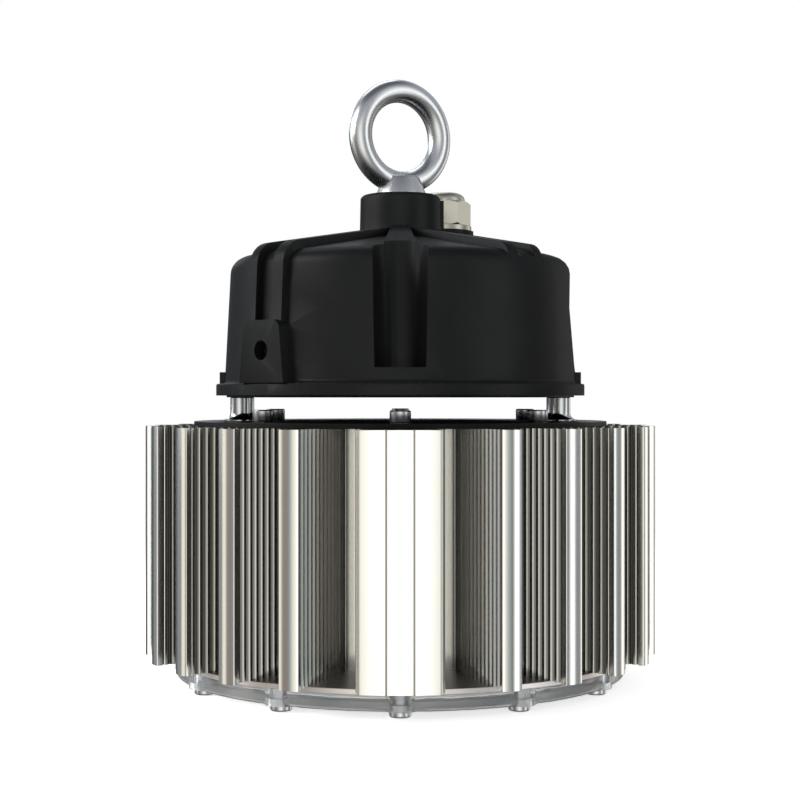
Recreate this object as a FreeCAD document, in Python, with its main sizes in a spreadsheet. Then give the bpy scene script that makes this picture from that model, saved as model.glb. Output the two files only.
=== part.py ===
import FreeCAD, Part
import math
import os
import re

import Sketcher

# High bay light, millimetres.
# +Z is up, -Y is the front, and the origin is under the axis, where the twelve
# lens screw heads would stand on a flat surface.
# An azimuth is measured from the front, and grows towards +X.

# ---------------------------------------------------------------- driving sizes
SIZES = {
    # finned heat sink: one aluminium extrusion
    "sink_radius": 110.0,
    "sink_height": 97.5,
    "hub_radius": 61.0,
    "lead_bore_radius": 9.0,
    "fin_thickness": 3.0,
    "bar_width": 8.3,
    "bar_thickness": 2.2,
    "bar_bulge": 0.8,
    "rib_start": 7.5,
    "rib_height": 1.4,
    "rib_tip": 1.2,
    "hub_slot_width": 4.4,
    "hub_slot_depth": 3.0,
    "port_wall": 2.3,
    "port_slot": 2.0,
    "panel_wall": 2.2,
    "panel_groove_place": 5.2,
    "panel_groove_width": 0.6,
    "panel_groove_depth": 0.6,
    # M5 socket cap screws
    "screw_radius": 2.5,
    "screw_head_radius": 4.25,
    "screw_head_height": 5.0,
    "screw_key_width": 4.0,
    "screw_key_depth": 2.6,
    "top_screw_length": 16.0,
    "lens_screw_length": 6.0,
    "low_head_height": 2.6,
    "carrier_screw_length": 12.0,
    "port_circle": 66.0,
    "lens_circle": 92.0,
    # clearances
    "hole_gap": 0.25,
    "fit_gap": 0.1,
    # light source end
    "lens_radius": 97.0,
    "lens_height": 6.8,
    "lens_window": 2.0,
    "lens_recess_radius": 78.0,
    "lens_boss_radius": 6.5,
    "lens_step_height": 4.2,
    "lens_step": 1.0,
    "lens_round": 1.6,
    "counterbore_depth": 2.6,
    "lens_seal_radius": 80.5,
    "lens_seal_width": 3.0,
    "lens_seal_height": 1.5,
    "carrier_radius": 98.2,
    "carrier_thickness": 2.0,
    "pad_thickness": 0.5,
    "board_radius": 56.0,
    "board_thickness": 1.6,
    "board_screw_inset": 5.0,
    "chip_width": 3.0,
    "chip_height": 0.8,
    "chip_ring_pitch": 14.0,
    # top plate and standoffs
    "top_plate_radius": 89.4,
    "top_plate_thickness": 2.0,
    "standoff_length": 10.2,
    "standoff_radius": 4.0,
    "standoff_foot_radius": 6.7,
    "standoff_foot_height": 0.8,
    "standoff_flare": 2.7,
    "standoff_inset": 7.3,
    "standoff_along": 12.0,
    "long_screw_radius": 2.0,
    "long_screw_head_radius": 3.8,
    "long_screw_head_height": 1.6,
    "long_screw_length": 27.0,
    # driver housing: one die casting
    "flange_width": 3.7,
    "flange_height": 5.0,
    "shell_foot_radius": 76.3,
    "shell_draft": 2.8,
    "shell_height": 53.1,
    "shell_shoulder_round": 7.0,
    "shell_wall": 3.5,
    "crown_rise": 10.4,
    "neck_radius": 17.4,
    "neck_draft": 0.4,
    "neck_height": 18.7,
    "neck_foot_round": 3.0,
    "neck_top_round": 2.0,
    "flange_edge_round": 0.8,
    "wall_foot_round": 1.5,
    "roof_flat_radius": 20.5,
    "joined_depth": 2.0,
    "rib_band_height": 3.2,
    "rib_band_width": 5.4,
    "rib_band_spread": 10.4,
    "crown_rib_inset": 1.0,
    "tab_width": 26.5,
    "tab_top_width": 21.0,
    "tab_height": 25.2,
    "tab_proud": 4.2,
    "tab_corner": 4.0,
    "bracket_hole_radius": 4.0,
    "bracket_hole_height": 13.0,
    "bracket_hole_depth": 5.5,
    "drill_point": 1.4,
    "pocket_radius": 11.0,
    "pocket_inset": 2.5,
    "pocket_floor": 5.9,
    "pocket_wall": 3.0,
    "gusset_neck_width": 7.0,
    "gusset_end_width": 13.0,
    "gusset_rise": 4.7,
    "gusset_end_rise": 3.2,
    "lug_proud": 1.1,
    "lug_width": 28.0,
    "lug_height": 5.0,
    "boss_radius": 5.0,
    "boss_height": 16.0,
    "boss_end": 2.0,
    "web_width": 6.0,
    "web_place": 13.0,
    "web_drop": 2.0,
    # base cover and its seal
    "cover_inset": 0.8,
    "cover_thickness": 2.0,
    "cover_show": 0.8,
    "seal_thickness": 1.0,
    "seal_width": 9.5,
    # hanging eye
    "eye_ring_radius": 20.0,
    "eye_section_radius": 5.0,
    "eye_centre_height": 25.8,
    "eye_collar_radius": 12.0,
    "eye_collar_top_radius": 7.0,
    "eye_collar_height": 9.0,
    "eye_collar_rim": 0.8,
    "eye_tip_show": 3.0,
    "eye_shank_radius": 6.0,
    "eye_washer_radius": 12.0,
    "eye_washer_thickness": 2.5,
    "eye_nut_width": 19.0,
    "eye_nut_height": 10.0,
    # cable gland
    "gland_across": 20.0,
    "gland_back": 44.0,
    "gland_seat_radius": 14.0,
    "gland_seat_rise": 7.7,
    "gland_thread_radius": 8.0,
    "gland_bore_radius": 5.5,
    "gland_flange_radius": 13.0,
    "gland_flange_height": 2.5,
    "gland_hex_width": 22.0,
    "gland_hex_height": 11.2,
    "gland_dome_height": 4.0,
    "gland_dome_radius": 10.0,
    "gland_dome_round": 3.5,
    "gland_entry_radius": 4.5,
    "gland_thread_in_nut": 6.7,
    "gland_tip_show": 2.0,
    "gland_locknut_height": 4.0,
    "cable_radius": 3.5,
    # driver inside the housing
    "post_radius": 3.0,
    "post_height": 4.0,
    "post_across": 38.0,
    "post_along": 26.0,
    "driver_board_radius": 52.0,
    "driver_board_thickness": 1.6,
    "small_screw_radius": 1.5,
    "small_head_radius": 2.75,
    "small_head_height": 2.0,
    "transformer_length": 42.0,
    "transformer_width": 30.0,
    "transformer_height": 28.0,
    "capacitor_radius": 8.0,
    "capacitor_height": 30.0,
    "driver_part_gap": 3.0,
    "terminal_length": 30.0,
    "terminal_width": 10.0,
    "terminal_height": 12.0,
}

# Sizes that follow from the others: what the shell's foot carries moves out with it,
# and the ribs share what is left of a fin between the hub and the bar.
FOLLOWING = {
    "shell_shoulder_radius": "shell_foot_radius - shell_draft",
    "flange_radius": "shell_foot_radius + flange_width",
    "tab_reach": "shell_foot_radius + tab_proud",
    "lug_reach": "shell_foot_radius + lug_proud",
    "pocket_circle": "shell_foot_radius - shell_draft - pocket_inset",
    "cover_radius": "shell_foot_radius - cover_inset",
    "standoff_across": "shell_foot_radius - standoff_inset",
    "bar_inner_radius": "sink_radius - bar_bulge - bar_thickness",
    "rib_pitch": "(sink_radius - bar_bulge - bar_thickness - hub_radius - rib_start) / rib_count",
}

# counts and directions
FIN_COUNT = 24
RIBS_PER_SIDE = 11
PORT_EVERY = 4
PANEL_GAPS = (0, 12)
TAB_AZIMUTHS = (-44, 136)
RIB_AZIMUTH = -45
EYE_TURN = 31
CHIP_RINGS = (1, 2, 3)
# how near the corner the hollow flare of a standoff passes
FLARE_BEND = 0.3

TOP_SCREW_AZIMUTHS = [60 * index for index in range(6)]
LENS_SCREW_AZIMUTHS = [30 * index for index in range(12)]
BOARD_SCREW_AZIMUTHS = [45, 135, 225, 315]

# Heights of the seats, worked out upwards from the ground.
LENS_BOTTOM = "(screw_head_height - counterbore_depth)"
CARRIER_BOTTOM = f"({LENS_BOTTOM} + lens_height)"
SINK_BOTTOM = f"({CARRIER_BOTTOM} + carrier_thickness)"
SINK_TOP = f"({SINK_BOTTOM} + sink_height)"
TOP_PLATE_TOP = f"({SINK_TOP} + top_plate_thickness)"
COVER_BOTTOM = f"({TOP_PLATE_TOP} + standoff_length)"
COVER_TOP = f"({COVER_BOTTOM} + cover_thickness)"
SHELL_SEAT = f"({COVER_TOP} + seal_thickness)"
FLANGE_BOTTOM = f"({COVER_BOTTOM} + cover_show)"
FLANGE_TOP = f"({FLANGE_BOTTOM} + flange_height)"
# the crown is a shallow cone, from the shoulder up to the neck
SHOULDER = f"({FLANGE_TOP} + shell_height)"
CROWN_TOP = f"({SHOULDER} + crown_rise)"
NECK_TOP = f"({CROWN_TOP} + neck_height)"
ROOF_BELOW = f"({CROWN_TOP} - shell_wall)"
GLAND_SEAT = f"({CROWN_TOP} + gland_seat_rise)"
GLAND_ROOF = f"({SHOULDER} - shell_wall)"
EYE_CENTRE = f"({NECK_TOP} + eye_centre_height)"
BOARD_SEAT = f"({COVER_TOP} + post_height)"
BOARD_TOP = f"({BOARD_SEAT} + driver_board_thickness)"

ORIGIN = FreeCAD.Vector(0, 0, 0)
UP = FreeCAD.Vector(0, 0, 1)
AXIS_X = FreeCAD.Vector(1, 0, 0)

# ---------------------------------------------------------------- document
doc = FreeCAD.newDocument("HighBayLight")
sheet = doc.addObject("Spreadsheet::Sheet", "Sizes")
rows = [*SIZES.items(), ("rib_count", RIBS_PER_SIDE)]
rows += [(alias, "=" + formula) for alias, formula in FOLLOWING.items()]
for row, (alias, content) in enumerate(rows, start=1):
    sheet.set(f"A{row}", alias)
    sheet.set(f"B{row}", str(content))
    sheet.setAlias(f"B{row}", alias)
doc.recompute()
named = {alias for alias, content in rows}

nodes = []


def cells(text):
    """The formula with each size name pointed at its cell."""
    def point(match):
        word = match.group(0)
        return f"Sizes.{word}" if word in named else word
    return re.sub(r"[a-z][a-z_]*", point, text)


def value(text):
    return float(sheet.evalExpression(cells(text)))


def bind(item, **formulas):
    for name, text in formulas.items():
        item.setExpression(name, cells(text))
    return item


def place(item, x="0", y="0", z="0"):
    for axis, text in zip("xyz", (x, y, z)):
        item.setExpression(f"Placement.Base.{axis}", cells(text))
    return item


def node(label, item):
    """Marks one finished sub-part, which is written to its own file."""
    item.Label = label
    nodes.append(item)
    return item


# ---------------------------------------------------------------- building blocks
def cylinder(name, radius, height, z, x="0", y="0"):
    item = doc.addObject("Part::Cylinder", name)
    bind(item, Radius=radius, Height=height)
    return place(item, x, y, z)


def cone(name, low, high, height, z, x="0", y="0"):
    item = doc.addObject("Part::Cone", name)
    bind(item, Radius1=low, Radius2=high, Height=height)
    return place(item, x, y, z)


def box(name, length, width, height, x, y, z):
    item = doc.addObject("Part::Box", name)
    bind(item, Length=length, Width=width, Height=height)
    return place(item, x, y, z)


def hexagon(name, across_flats, height, z, x="0", y="0"):
    item = doc.addObject("Part::Prism", name)
    item.Polygon = 6
    bind(item, Circumradius=f"{across_flats} / sqrt(3)", Height=height)
    return place(item, x, y, z)


def cut(name, base, *tools):
    item = doc.addObject("Part::Cut", name)
    item.Base = base
    item.Tool = tools[0] if len(tools) == 1 else fuse(name + "_tools", *tools)
    return item


def fuse(name, *shapes):
    item = doc.addObject("Part::MultiFuse", name)
    item.Shapes = list(shapes)
    return item


def copies(name, master, azimuths):
    """Equal copies of one solid about the vertical axis, each a solid of its own."""
    doc.recompute()
    turned = []
    for azimuth in azimuths:
        shape = master.Shape.copy()
        shape.rotate(ORIGIN, UP, azimuth)
        turned.append(shape)
    group = doc.addObject("Part::Feature", name)
    group.Shape = Part.makeCompound(turned)
    return group


def outline(sketch, corners):
    """A closed chain of straight edges whose corners are bound to the sheet."""
    points = [FreeCAD.Vector(value(x), value(y), 0) for x, y in corners]
    count = len(points)
    for index, point in enumerate(points):
        sketch.addGeometry(Part.LineSegment(point, points[(index + 1) % count]), False)
    for index in range(count):
        following = (index + 1) % count
        sketch.addConstraint(Sketcher.Constraint("Coincident", index, 2, following, 1))
    for index, (x, y) in enumerate(corners):
        for kind, text, axis, place_now in (
            ("DistanceX", x, -2, points[index].x),
            ("DistanceY", y, -1, points[index].y),
        ):
            if text == "0":
                sketch.addConstraint(Sketcher.Constraint("PointOnObject", index, 1, axis))
                continue
            rule = sketch.addConstraint(Sketcher.Constraint(kind, -1, 1, index, 1, place_now))
            sketch.setExpression(f"Constraints[{rule}]", cells(text))


def sketched(body, plane, corners, lift=None):
    """A sketch on one of the body's own origin planes."""
    sketch = body.newObject("Sketcher::SketchObject", body.Name + "_section")
    support = [item for item in body.Origin.OriginFeatures if item.Role == plane][0]
    sketch.AttachmentSupport = (support, [""])
    sketch.MapMode = "FlatFace"
    if lift:
        sketch.setExpression("AttachmentOffset.Base.z", cells(lift))
    outline(sketch, corners)
    return sketch


def turned(name, corners, rounds=()):
    """A body of revolution; each round is (radius, height, size) of one circular edge."""
    body = doc.addObject("PartDesign::Body", name)
    sketch = sketched(body, "XZ_Plane", corners)
    solid = body.newObject("PartDesign::Revolution", name + "_turned")
    solid.Profile = sketch
    solid.ReferenceAxis = (sketch, ["V_Axis"])
    solid.Angle = 360
    for index, (radius, height, size) in enumerate(rounds):
        doc.recompute()
        edge = circular_edge(body.Tip.Shape, value(radius), value(height))
        round_edge(body, f"{name}_round_{index}", [edge], size)
    return body


def circular_edge(shape, radius, height):
    for number, edge in enumerate(shape.Edges, start=1):
        if not isinstance(edge.Curve, Part.Circle):
            continue
        level = edge.Curve.Center.z
        if abs(edge.Curve.Radius - radius) < 0.01 and abs(level - height) < 0.01:
            return f"Edge{number}"
    raise ValueError(f"no circular edge of radius {radius:.2f} at height {height:.2f}")


def round_edge(body, name, edges, size):
    base = body.Tip
    feature = body.newObject("PartDesign::Fillet", name)
    feature.Base = (base, edges)
    bind(feature, Radius=size)
    return feature


def raised(name, plane, corners, length, lift=None):
    """A body raised straight from a sketch on one of its origin planes."""
    body = doc.addObject("PartDesign::Body", name)
    sketch = sketched(body, plane, corners, lift)
    solid = body.newObject("PartDesign::Pad", name + "_pad")
    solid.Profile = sketch
    bind(solid, Length=length)
    return body


# ---------------------------------------------------------------- screws
def cap_screw(name, seat, length, circle, head_up):
    """An M5 cap screw with a hexagon socket, standing at the front of its circle."""
    forward = f"-{circle}"
    head_low = seat if head_up else f"{seat} - screw_head_height"
    shank_low = f"{seat} - {length}" if head_up else seat
    socket_low = f"{seat} + screw_head_height - screw_key_depth" if head_up else head_low
    head = cylinder(name + "_head", "screw_head_radius", "screw_head_height", head_low, y=forward)
    shank = cylinder(name + "_shank", "screw_radius", length, shank_low, y=forward)
    socket = hexagon(name + "_socket", "screw_key_width", "screw_key_depth", socket_low, y=forward)
    return cut(name, fuse(name + "_blank", head, shank), socket)


SMALL_SCREW = ("small_screw_radius", "small_head_radius", "small_head_height")


def pan_screw(name, seat, length, x, y, head_up, sizes=SMALL_SCREW):
    """A small screw with a plain low head."""
    shank_radius, head_radius, head_height = sizes
    head_low = seat if head_up else f"{seat} - {head_height}"
    shank_low = f"{seat} - ({length})" if head_up else seat
    head = cylinder(name + "_head", head_radius, head_height, head_low, x, y)
    shank = cylinder(name + "_shank", shank_radius, length, shank_low, x, y)
    return fuse(name, head, shank)


# ---------------------------------------------------------------- heat sink
def polar(radius, sideways, azimuth):
    """A point at a radius along an azimuth and a distance to the right of it."""
    turn = math.radians(azimuth)
    across = radius * math.sin(turn) + sideways * math.cos(turn)
    along = -radius * math.cos(turn) + sideways * math.sin(turn)
    return FreeCAD.Vector(across, along, 0)


class Wire:
    """Edges of one closed outline, each starting where the last one ended."""

    def __init__(self):
        self.edges = []
        self.first = None
        self.last = None

    def to(self, point):
        if self.last is None:
            self.first = point
        elif self.last.distanceToPoint(point) > 1e-6:
            self.edges.append(Part.LineSegment(self.last, point).toShape())
        self.last = point

    def arc(self, middle, end):
        self.edges.append(Part.Arc(self.last, middle, end).toShape())
        self.last = end

    def closed(self):
        self.to(self.first)
        return Part.Wire(self.edges)


def fin_flank(wire, azimuth, side, outwards):
    """The ribbed side of a fin, from hub to bar or back. side is -1 left, 1 right."""
    half = value("fin_thickness") / 2
    tip = value("rib_tip") / 2
    pitch = value("rib_pitch")
    height = value("rib_height")
    last_rib = value("bar_inner_radius") - pitch / 2
    stations = []
    for index in range(RIBS_PER_SIDE):
        centre = last_rib - (RIBS_PER_SIDE - 1 - index) * pitch
        stations.append((centre - pitch / 2, half))
        stations.append((centre - tip, half + height))
        stations.append((centre + tip, half + height))
    stations.append((last_rib + pitch / 2, half))
    if not outwards:
        stations.reverse()
    for radius, sideways in stations:
        wire.to(polar(radius, side * sideways, azimuth))


def fin_bar(wire, azimuth):
    """The bar across a fin's tip, with its outer face gently domed, left to right."""
    half = value("bar_width") / 2
    inner = value("bar_inner_radius")
    shoulder = value("sink_radius - bar_bulge")
    wire.to(polar(inner, -half, azimuth))
    wire.to(polar(shoulder, -half, azimuth))
    wire.arc(polar(value("sink_radius"), 0, azimuth), polar(shoulder, half, azimuth))
    wire.to(polar(inner, half, azimuth))


def hub_port(wire, azimuth):
    """A C-shaped screw port that stands on the hub, left to right."""
    centre = value("port_circle")
    bore = value("screw_radius + fit_gap")
    wall = value("screw_radius + fit_gap + port_wall")
    slot = value("port_slot") / 2
    hub = value("hub_radius")
    lip = centre + math.sqrt(wall ** 2 - slot ** 2)
    mouth = centre + math.sqrt(bore ** 2 - slot ** 2)
    slant = math.sqrt(0.5)
    wire.to(polar(hub, -wall, azimuth))
    wire.to(polar(centre, -wall, azimuth))
    wire.arc(polar(centre + wall * slant, -wall * slant, azimuth), polar(lip, -slot, azimuth))
    wire.to(polar(mouth, -slot, azimuth))
    wire.arc(polar(centre - bore, 0, azimuth), polar(mouth, slot, azimuth))
    wire.to(polar(lip, slot, azimuth))
    wire.arc(polar(centre + wall * slant, wall * slant, azimuth), polar(centre, wall, azimuth))
    wire.to(polar(hub, wall, azimuth))


def hub_slot(wire, azimuth):
    """The square slot in the middle of a hub facet, left to right."""
    half = value("hub_slot_width") / 2
    hub = value("hub_radius")
    floor = value("hub_radius - hub_slot_depth")
    wire.to(polar(hub, -half, azimuth))
    wire.to(polar(floor, -half, azimuth))
    wire.to(polar(floor, half, azimuth))
    wire.to(polar(hub, half, azimuth))


def hub_corner(gap_azimuth, side):
    """Where a hub facet meets the flank of the fin beside it."""
    half_pitch = math.radians(180 / FIN_COUNT)
    half_fin = value("fin_thickness") / 2
    hub = value("hub_radius")
    sideways = hub * math.tan(half_pitch) - half_fin / math.cos(half_pitch)
    return polar(hub, side * sideways, gap_azimuth)


def hub_facet(wire, gap):
    azimuth = gap * 360 / FIN_COUNT
    wire.to(hub_corner(azimuth, -1))
    if gap % PORT_EVERY == 0:
        hub_port(wire, azimuth)
    else:
        hub_slot(wire, azimuth)
    wire.to(hub_corner(azimuth, 1))


def panel_face(wire, gap):
    """The closed outer wall that joins two fins, with two thin grooves, left to right."""
    azimuth = gap * 360 / FIN_COUNT
    radius = value("sink_radius")
    reach = value("sink_radius") * math.sin(math.radians(180 / FIN_COUNT))
    half_width = reach + value("fin_thickness") / 2
    corner = value("fin_thickness") / 2
    groove = value("panel_groove_place")
    width = value("panel_groove_width") / 2
    depth = value("panel_groove_depth")

    def on_face(sideways):
        return polar(math.sqrt(radius ** 2 - sideways ** 2), sideways, azimuth)

    edge_level = math.sqrt(radius ** 2 - half_width ** 2) - corner
    round_level = math.sqrt(radius ** 2 - (half_width - corner) ** 2)
    slant = corner * (1 - math.sqrt(0.5))
    wire.to(polar(edge_level, -half_width, azimuth))
    wire.arc(polar(round_level - slant, -half_width + slant, azimuth), on_face(corner - half_width))
    for left, right in (
        (corner - half_width, -groove - width),
        (width - groove, groove - width),
        (groove + width, half_width - corner),
    ):
        wire.arc(on_face((left + right) / 2), on_face(right))
        if right < half_width - corner - 1e-6:
            level = math.sqrt(radius ** 2 - right ** 2) - depth
            wire.to(polar(level, right, azimuth))
            wire.to(polar(level, right + 2 * width, azimuth))
            wire.to(on_face(right + 2 * width))
    wire.arc(polar(round_level - slant, half_width - slant, azimuth),
             polar(edge_level, half_width, azimuth))


def panel_channel(gap):
    """The closed channel behind a panel, bounded by two plain fin sides."""
    azimuth = gap * 360 / FIN_COUNT
    half_pitch = math.radians(180 / FIN_COUNT)
    half_fin = value("fin_thickness") / 2
    ceiling = value("sink_radius") * math.cos(half_pitch) - value("panel_wall")
    sideways = ceiling * math.tan(half_pitch) - half_fin / math.cos(half_pitch)
    wire = Wire()
    hub_facet(wire, gap)
    wire.to(polar(ceiling, sideways, azimuth))
    wire.to(polar(ceiling, -sideways, azimuth))
    return wire.closed()


def heat_sink_section():
    """The extruded section: hub, ribbed fins with cross bars, ports, slots and panels."""
    wire = Wire()
    for fin in range(FIN_COUNT):
        # fin number n stands half a pitch after gap n, going round from the front
        gap_before = fin
        gap_after = (fin + 1) % FIN_COUNT
        azimuth = (fin + 0.5) * 360 / FIN_COUNT
        if gap_before not in PANEL_GAPS:
            fin_flank(wire, azimuth, -1, outwards=True)
        if gap_before not in PANEL_GAPS and gap_after not in PANEL_GAPS:
            fin_bar(wire, azimuth)
        if gap_after in PANEL_GAPS:
            panel_face(wire, gap_after)
        else:
            fin_flank(wire, azimuth, 1, outwards=False)
            hub_facet(wire, gap_after)
    outer = Part.Face(wire.closed())
    holes = [Part.Face(panel_channel(gap)) for gap in PANEL_GAPS]
    bore = Part.Face(Part.Wire(Part.makeCircle(value("lead_bore_radius"))))
    return outer.cut(Part.makeCompound(holes + [bore]))


def make_heat_sink():
    section = doc.addObject("Part::Feature", "heat_sink_section")
    section.Shape = heat_sink_section()
    sink = doc.addObject("Part::Extrusion", "heat_sink")
    sink.Base = section
    sink.DirMode = "Custom"
    sink.Dir = UP
    sink.Solid = True
    bind(sink, LengthFwd="sink_height")
    place(sink, z=SINK_BOTTOM)
    return node("heat_sink", sink)


# ---------------------------------------------------------------- light source end
def make_carrier():
    """The plate that closes the heat sink and carries the light source and the lens."""
    disc = cylinder("carrier_disc", "carrier_radius", "carrier_thickness", CARRIER_BOTTOM)
    lens_hole = cylinder("carrier_lens_hole", "screw_radius + fit_gap", "carrier_thickness",
                         CARRIER_BOTTOM, y="-lens_circle")
    port_hole = cylinder("carrier_port_hole", "screw_radius + hole_gap", "carrier_thickness",
                         CARRIER_BOTTOM, y="-port_circle")
    board_hole = cylinder("carrier_board_hole", "small_screw_radius + fit_gap",
                          "carrier_thickness", CARRIER_BOTTOM, y="board_screw_inset - board_radius")
    lead_hole = cylinder("carrier_lead_hole", "lead_bore_radius", "carrier_thickness",
                         CARRIER_BOTTOM)
    carrier = cut("carrier_plate", disc, copies("carrier_lens_holes", lens_hole, LENS_SCREW_AZIMUTHS),
                  copies("carrier_port_holes", port_hole, TOP_SCREW_AZIMUTHS),
                  copies("carrier_board_holes", board_hole, BOARD_SCREW_AZIMUTHS), lead_hole)
    node("carrier_plate", carrier)
    screw = pan_screw("carrier_screw", CARRIER_BOTTOM, "carrier_screw_length", "0", "-port_circle",
                      False, ("screw_radius", "screw_head_radius", "low_head_height"))
    node("carrier_screws", copies("carrier_screws", screw, TOP_SCREW_AZIMUTHS))


def make_light_source():
    pad_low = f"{CARRIER_BOTTOM} - pad_thickness"
    board_low = f"{pad_low} - board_thickness"
    pad = cylinder("pad_disc", "board_radius", "pad_thickness", pad_low)
    board = cylinder("board_disc", "board_radius", "board_thickness", board_low)
    hole = cylinder("board_hole", "small_screw_radius + fit_gap", "pad_thickness + board_thickness",
                    board_low, y="board_screw_inset - board_radius")
    holes = copies("board_holes", hole, BOARD_SCREW_AZIMUTHS)
    node("thermal_pad", cut("thermal_pad", pad, holes))
    node("led_board", cut("led_board", board, holes))
    screw = pan_screw("board_screw", board_low, "pad_thickness + board_thickness + carrier_thickness",
                      "0", "board_screw_inset - board_radius", False)
    node("led_board_screws", copies("led_board_screws", screw, BOARD_SCREW_AZIMUTHS))
    rings = []
    for ring in CHIP_RINGS:
        chip = box(f"chip_{ring}", "chip_width", "chip_width", "chip_height", "-chip_width / 2",
                   f"-{ring} * chip_ring_pitch - chip_width / 2", f"{board_low} - chip_height")
        azimuths = [360 * index / (6 * ring) for index in range(6 * ring)]
        rings.append(copies(f"chip_ring_{ring}", chip, azimuths))
    chips = doc.addObject("Part::Compound", "led_chips")
    chips.Links = rings
    node("led_chips", chips)


def make_lens():
    """The clear moulded cover: a window with a deep rim, and a boss round each screw."""
    step_edge = "lens_radius - lens_step"
    step_level = f"{LENS_BOTTOM} + lens_step_height"
    disc = turned("lens_disc", [
        ("0", LENS_BOTTOM),
        ("lens_radius", LENS_BOTTOM),
        ("lens_radius", step_level),
        (step_edge, step_level),
        (step_edge, CARRIER_BOTTOM),
        ("lens_recess_radius", CARRIER_BOTTOM),
        ("lens_recess_radius", f"{LENS_BOTTOM} + lens_window"),
        ("0", f"{LENS_BOTTOM} + lens_window"),
    ], rounds=[("lens_radius", LENS_BOTTOM, "lens_round"),
               ("lens_recess_radius", f"{LENS_BOTTOM} + lens_window", "lens_round")])
    boss = cylinder("lens_boss", "lens_boss_radius", "lens_height", LENS_BOTTOM, y="-lens_circle")
    hole = cylinder("lens_hole", "screw_radius + hole_gap", "lens_height", LENS_BOTTOM,
                    y="-lens_circle")
    seat = cylinder("lens_counterbore", "screw_head_radius + hole_gap", "counterbore_depth",
                    LENS_BOTTOM, y="-lens_circle")
    groove = turned("lens_seal_groove", seal_ring("fit_gap"))
    blank = fuse("lens_blank", disc, copies("lens_bosses", boss, LENS_SCREW_AZIMUTHS))
    lens = cut("lens_cover", blank, copies("lens_holes", hole, LENS_SCREW_AZIMUTHS),
               copies("lens_counterbores", seat, LENS_SCREW_AZIMUTHS), groove)
    node("lens_cover", lens)
    node("lens_seal", turned("lens_seal", seal_ring("0")))
    screw = cap_screw("lens_screw", f"({LENS_BOTTOM} + counterbore_depth)", "lens_screw_length",
                      "lens_circle", head_up=False)
    node("lens_screws", copies("lens_screws", screw, LENS_SCREW_AZIMUTHS))


def seal_ring(gap):
    """The section of the ring seal between lens and carrier, or of its groove."""
    low = f"{CARRIER_BOTTOM} - lens_seal_height"
    inner = f"lens_seal_radius - {gap}"
    outer = f"lens_seal_radius + lens_seal_width + {gap}"
    return [(inner, low), (outer, low), (outer, CARRIER_BOTTOM), (inner, CARRIER_BOTTOM)]


# ---------------------------------------------------------------- top plate and standoffs
def standoff_places():
    for side, across in (("left", "-standoff_across"), ("right", "standoff_across")):
        for end, along in (("front", "-standoff_along"), ("rear", "standoff_along")):
            yield f"{end}_{side}", across, along


def make_top_plate():
    disc = cylinder("top_plate_disc", "top_plate_radius", "top_plate_thickness", SINK_TOP)
    hole = cylinder("top_plate_hole", "screw_radius + hole_gap", "top_plate_thickness", SINK_TOP,
                    y="-port_circle")
    tools = [copies("top_plate_holes", hole, TOP_SCREW_AZIMUTHS)]
    for name, across, along in standoff_places():
        tools.append(cylinder(f"top_plate_hole_{name}", "long_screw_radius + hole_gap",
                              "top_plate_thickness", SINK_TOP, across, along))
        tools.append(cone(f"top_plate_sink_{name}", "long_screw_head_radius + fit_gap",
                          "long_screw_radius + fit_gap", "long_screw_head_height", SINK_TOP,
                          across, along))
    node("top_plate", cut("top_plate", disc, *tools))
    screw = cap_screw("top_screw", TOP_PLATE_TOP, "top_screw_length", "port_circle", head_up=True)
    node("top_plate_screws", copies("top_plate_screws", screw, TOP_SCREW_AZIMUTHS))


def make_standoffs():
    """Four turned sleeves with a flared foot, each clamped by a long screw from below."""
    bore = "long_screw_radius + hole_gap"
    for name, across, along in standoff_places():
        sleeve = turned(f"standoff_{name}", [
            (bore, "0"),
            ("standoff_foot_radius", "0"),
            ("standoff_foot_radius", "standoff_foot_height"),
            (f"standoff_radius + standoff_flare * {FLARE_BEND}",
             f"standoff_foot_height + standoff_flare * {FLARE_BEND}"),
            ("standoff_radius", "standoff_foot_height + standoff_flare"),
            ("standoff_radius", "standoff_length"),
            (bore, "standoff_length"),
        ])
        place(sleeve, across, along, TOP_PLATE_TOP)
        node(f"standoff_{name}", sleeve)
    screws = []
    for name, across, along in standoff_places():
        head = cone(f"long_head_{name}", "long_screw_head_radius", "long_screw_radius",
                    "long_screw_head_height", SINK_TOP, across, along)
        shank = cylinder(f"long_shank_{name}", "long_screw_radius", "long_screw_length", SINK_TOP,
                         across, along)
        screws.append(fuse(f"long_screw_{name}", head, shank))
    group = doc.addObject("Part::Compound", "standoff_screws")
    group.Links = screws
    node("standoff_screws", group)


# ---------------------------------------------------------------- base cover
def long_screw_holes(name, low, height):
    return [cylinder(f"{name}_{place_name}", "long_screw_radius + hole_gap", height, low, across,
                     along)
            for place_name, across, along in standoff_places()]


def post_places():
    for index, (across, along) in enumerate(((1, 1), (-1, 1), (-1, -1), (1, -1))):
        yield index, f"{across} * post_across", f"{along} * post_along"


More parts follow.
